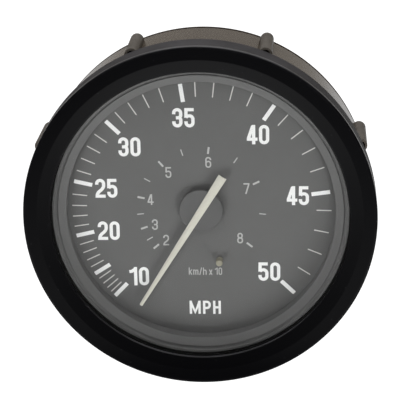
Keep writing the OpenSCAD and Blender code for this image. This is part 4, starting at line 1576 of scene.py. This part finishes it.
@dataclass
class Studio:
    """Floor, light and camera, in metres; distance, target, lens and sensor are in millimetres."""

    softboxes: tuple[Softbox, ...] = (
        Softbox("top_softbox", (0.0, 0.45, 0.8), 0.8, 2.8, mirrored=True),
        Softbox("front_softbox", (-0.1, -0.45, 0.8), 0.8, 2.8),
        Softbox("eye_softbox", (0.1, -1.0, 0.36), 0.6, 1.2),
        Softbox("left_table_softbox", (-1.1, -1.5, -1.2), 1.0, 21.5),
        Softbox("right_table_softbox", (1.1, -1.5, -1.2), 1.0, 21.5))
    floor_size: float = 8.0
    floor_seen: float = 1.2
    floor_fill: float = 0.05
    floor_grey: float = 0.03
    front_shine: float = 1.15
    flat_loss: float = 1.3
    shade_share: float = 0.15
    shade_span: Point = (-0.06, -0.03)
    shine_span: Point = (0.13, 0.20)
    rear_shine: float = 1.0
    rear_span: Point = (0.0, 0.1)
    room_shine: float = 0.022
    wall_shine: float = 0.9
    wall_span: Point = (0.0, 0.4)
    wall_top: float = 0.1
    wall_top_span: Point = (0.0, 0.3)
    wall_edge: float = 0.5
    wall_edge_span: Point = (0.05, 0.3)
    air_fill: float = 0.06
    air_tint: Colour = (1.0, 0.93, 0.84)
    azimuth: float = 3.812
    elevation: float = 18.515
    roll: float = -1.212
    distance: float = 564.4
    target: Place = (0.355, -10.6, 6.64)
    lens: float = 162.0
    sensor: float = 36.0
    nearest: float = 0.01

    def build(self) -> None:
        """Set up the whole studio."""
        bpy.context.scene.view_settings.view_transform = "Standard"
        self._world()
        self._floor()
        for softbox in self.softboxes:
            softbox.build()
        self._camera()

    def _world(self) -> None:
        """A dark room in front of the dial and a white wall behind it."""
        world = bpy.data.worlds.new("studio_air")
        world.use_nodes = True
        graph = Graph(world.node_tree)
        way = graph.split(graph.add("ShaderNodeTexCoord")["Generated"])
        behind = way["Y"].mapped(self.wall_span)
        low = way["Z"].mapped(self.wall_top_span, (self.wall_shine, self.wall_shine * self.wall_top))
        aside = way["X"].apply("ABSOLUTE").mapped(self.wall_edge_span, (1.0, self.wall_edge))
        wall = (behind * low * aside).apply("MAXIMUM", self.room_shine)
        strength = self._by_ray(graph, self.air_fill, wall)
        air = graph.add("ShaderNodeBackground", {"Color": (*self.air_tint, 1.0), "Strength": strength})
        graph.add("ShaderNodeOutputWorld", {"Surface": air["Background"]})
        bpy.context.scene.world = world

    def _by_ray(self, graph: Graph, fill: float, mirrored: Value) -> Value:
        """Tell plain light, mirrors and the camera apart.

        Args:
            graph: The graph to add to.
            fill: Strength as plain light.
            mirrored: Strength in mirrors.

        Returns:
            The strength, which is white to the camera.
        """
        path = graph.add("ShaderNodeLightPath")
        strength = path["Is Glossy Ray"].mapped(SWITCH, (fill, mirrored))
        return path["Is Camera Ray"].mapped(SWITCH, (strength, self.floor_seen))

    def _floor(self) -> None:
        """A wide white light table that lets the lamps under it through; in mirrors it shows a painted pool
        of light round the part and a painted shadow close in front of it.
        """
        mesh = bpy.data.meshes.new("floor")
        half, level = self.floor_size / 2, cad_box[0][2]
        corners = [(x * half, y * half, level) for x, y in ((-1, -1), (1, -1), (1, 1), (-1, 1))]
        mesh.from_pydata(corners, [], [(0, 1, 2, 3)])
        floor = placed("floor", mesh)
        paper, graph = blank_material("white_paper")
        place = graph.place()
        away = graph.add("ShaderNodeVectorMath", {0: place}, operation="LENGTH")["Value"]
        depth = graph.split(place)["Y"]
        flat = graph.add("ShaderNodeLayerWeight", {"Blend": 0.5})["Facing"]
        # Painted pool of light: seen in mirrors, the floor glows brightly close to the part, fading out
        # between the ends of shine_span and dimming at flat angles.
        front = away.mapped(self.shine_span, (self.front_shine, self.room_shine))
        front = front * (flat * -1.0 + 1.0).apply("POWER", self.flat_loss)
        # Painted shadow: close in front of the part the mirrored glow drops to shade_share, standing for the
        # shadow that the part casts on the floor.
        front = front * depth.mapped(self.shade_span, (1.0, self.shade_share))
        glow = self._by_ray(graph, self.floor_fill, depth.mapped(self.rear_span, (front, self.rear_shine)))
        grey = self.floor_grey
        shader = graph.add("ShaderNodeBsdfPrincipled", {
            "Base Color": (grey, grey, grey, 1.0), "Roughness": 0.9, "Specular IOR Level": 0.1,
            "Emission Color": (1.0, 1.0, 1.0, 1.0), "Emission Strength": glow})
        graph.add("ShaderNodeOutputMaterial", {"Surface": shader["BSDF"]})
        mesh.materials.append(paper)
        floor.visible_shadow = False

    def _camera(self) -> None:
        """Stand the camera where the photograph was taken from."""
        around, rise, roll = (math.radians(a) for a in (self.azimuth, self.elevation, self.roll))
        back = Vector((math.sin(around) * math.cos(rise), -math.cos(around) * math.cos(rise), math.sin(rise)))
        right = (-back).cross(Vector((0, 0, 1))).normalized()
        up = right.cross(-back)
        across = right * math.cos(roll) + up * math.sin(roll)
        upright = up * math.cos(roll) - right * math.sin(roll)
        axes = Matrix((across, upright, back)).transposed()
        place = (Vector(self.target) + back * self.distance) * MM
        data = bpy.data.cameras.new("camera")
        data.lens = self.lens
        data.sensor_width = self.sensor
        data.clip_start = self.nearest
        camera = placed("camera", data)
        camera.matrix_world = Matrix.Translation(place) @ axes.to_4x4()
        bpy.context.scene.camera = camera


def main() -> None:
    """Build every sub-assembly in order."""
    logging.basicConfig(level=logging.INFO)
    for kind in (Studio, DrumCase, BezelRing, FrontGlass, MaskRing, DialFace, Pointer, RearFittings,
                 PressureTube, Movement):
        kind().build()
        LOG.info("%s done", kind.__name__)


if __name__ == "__main__":
    main()
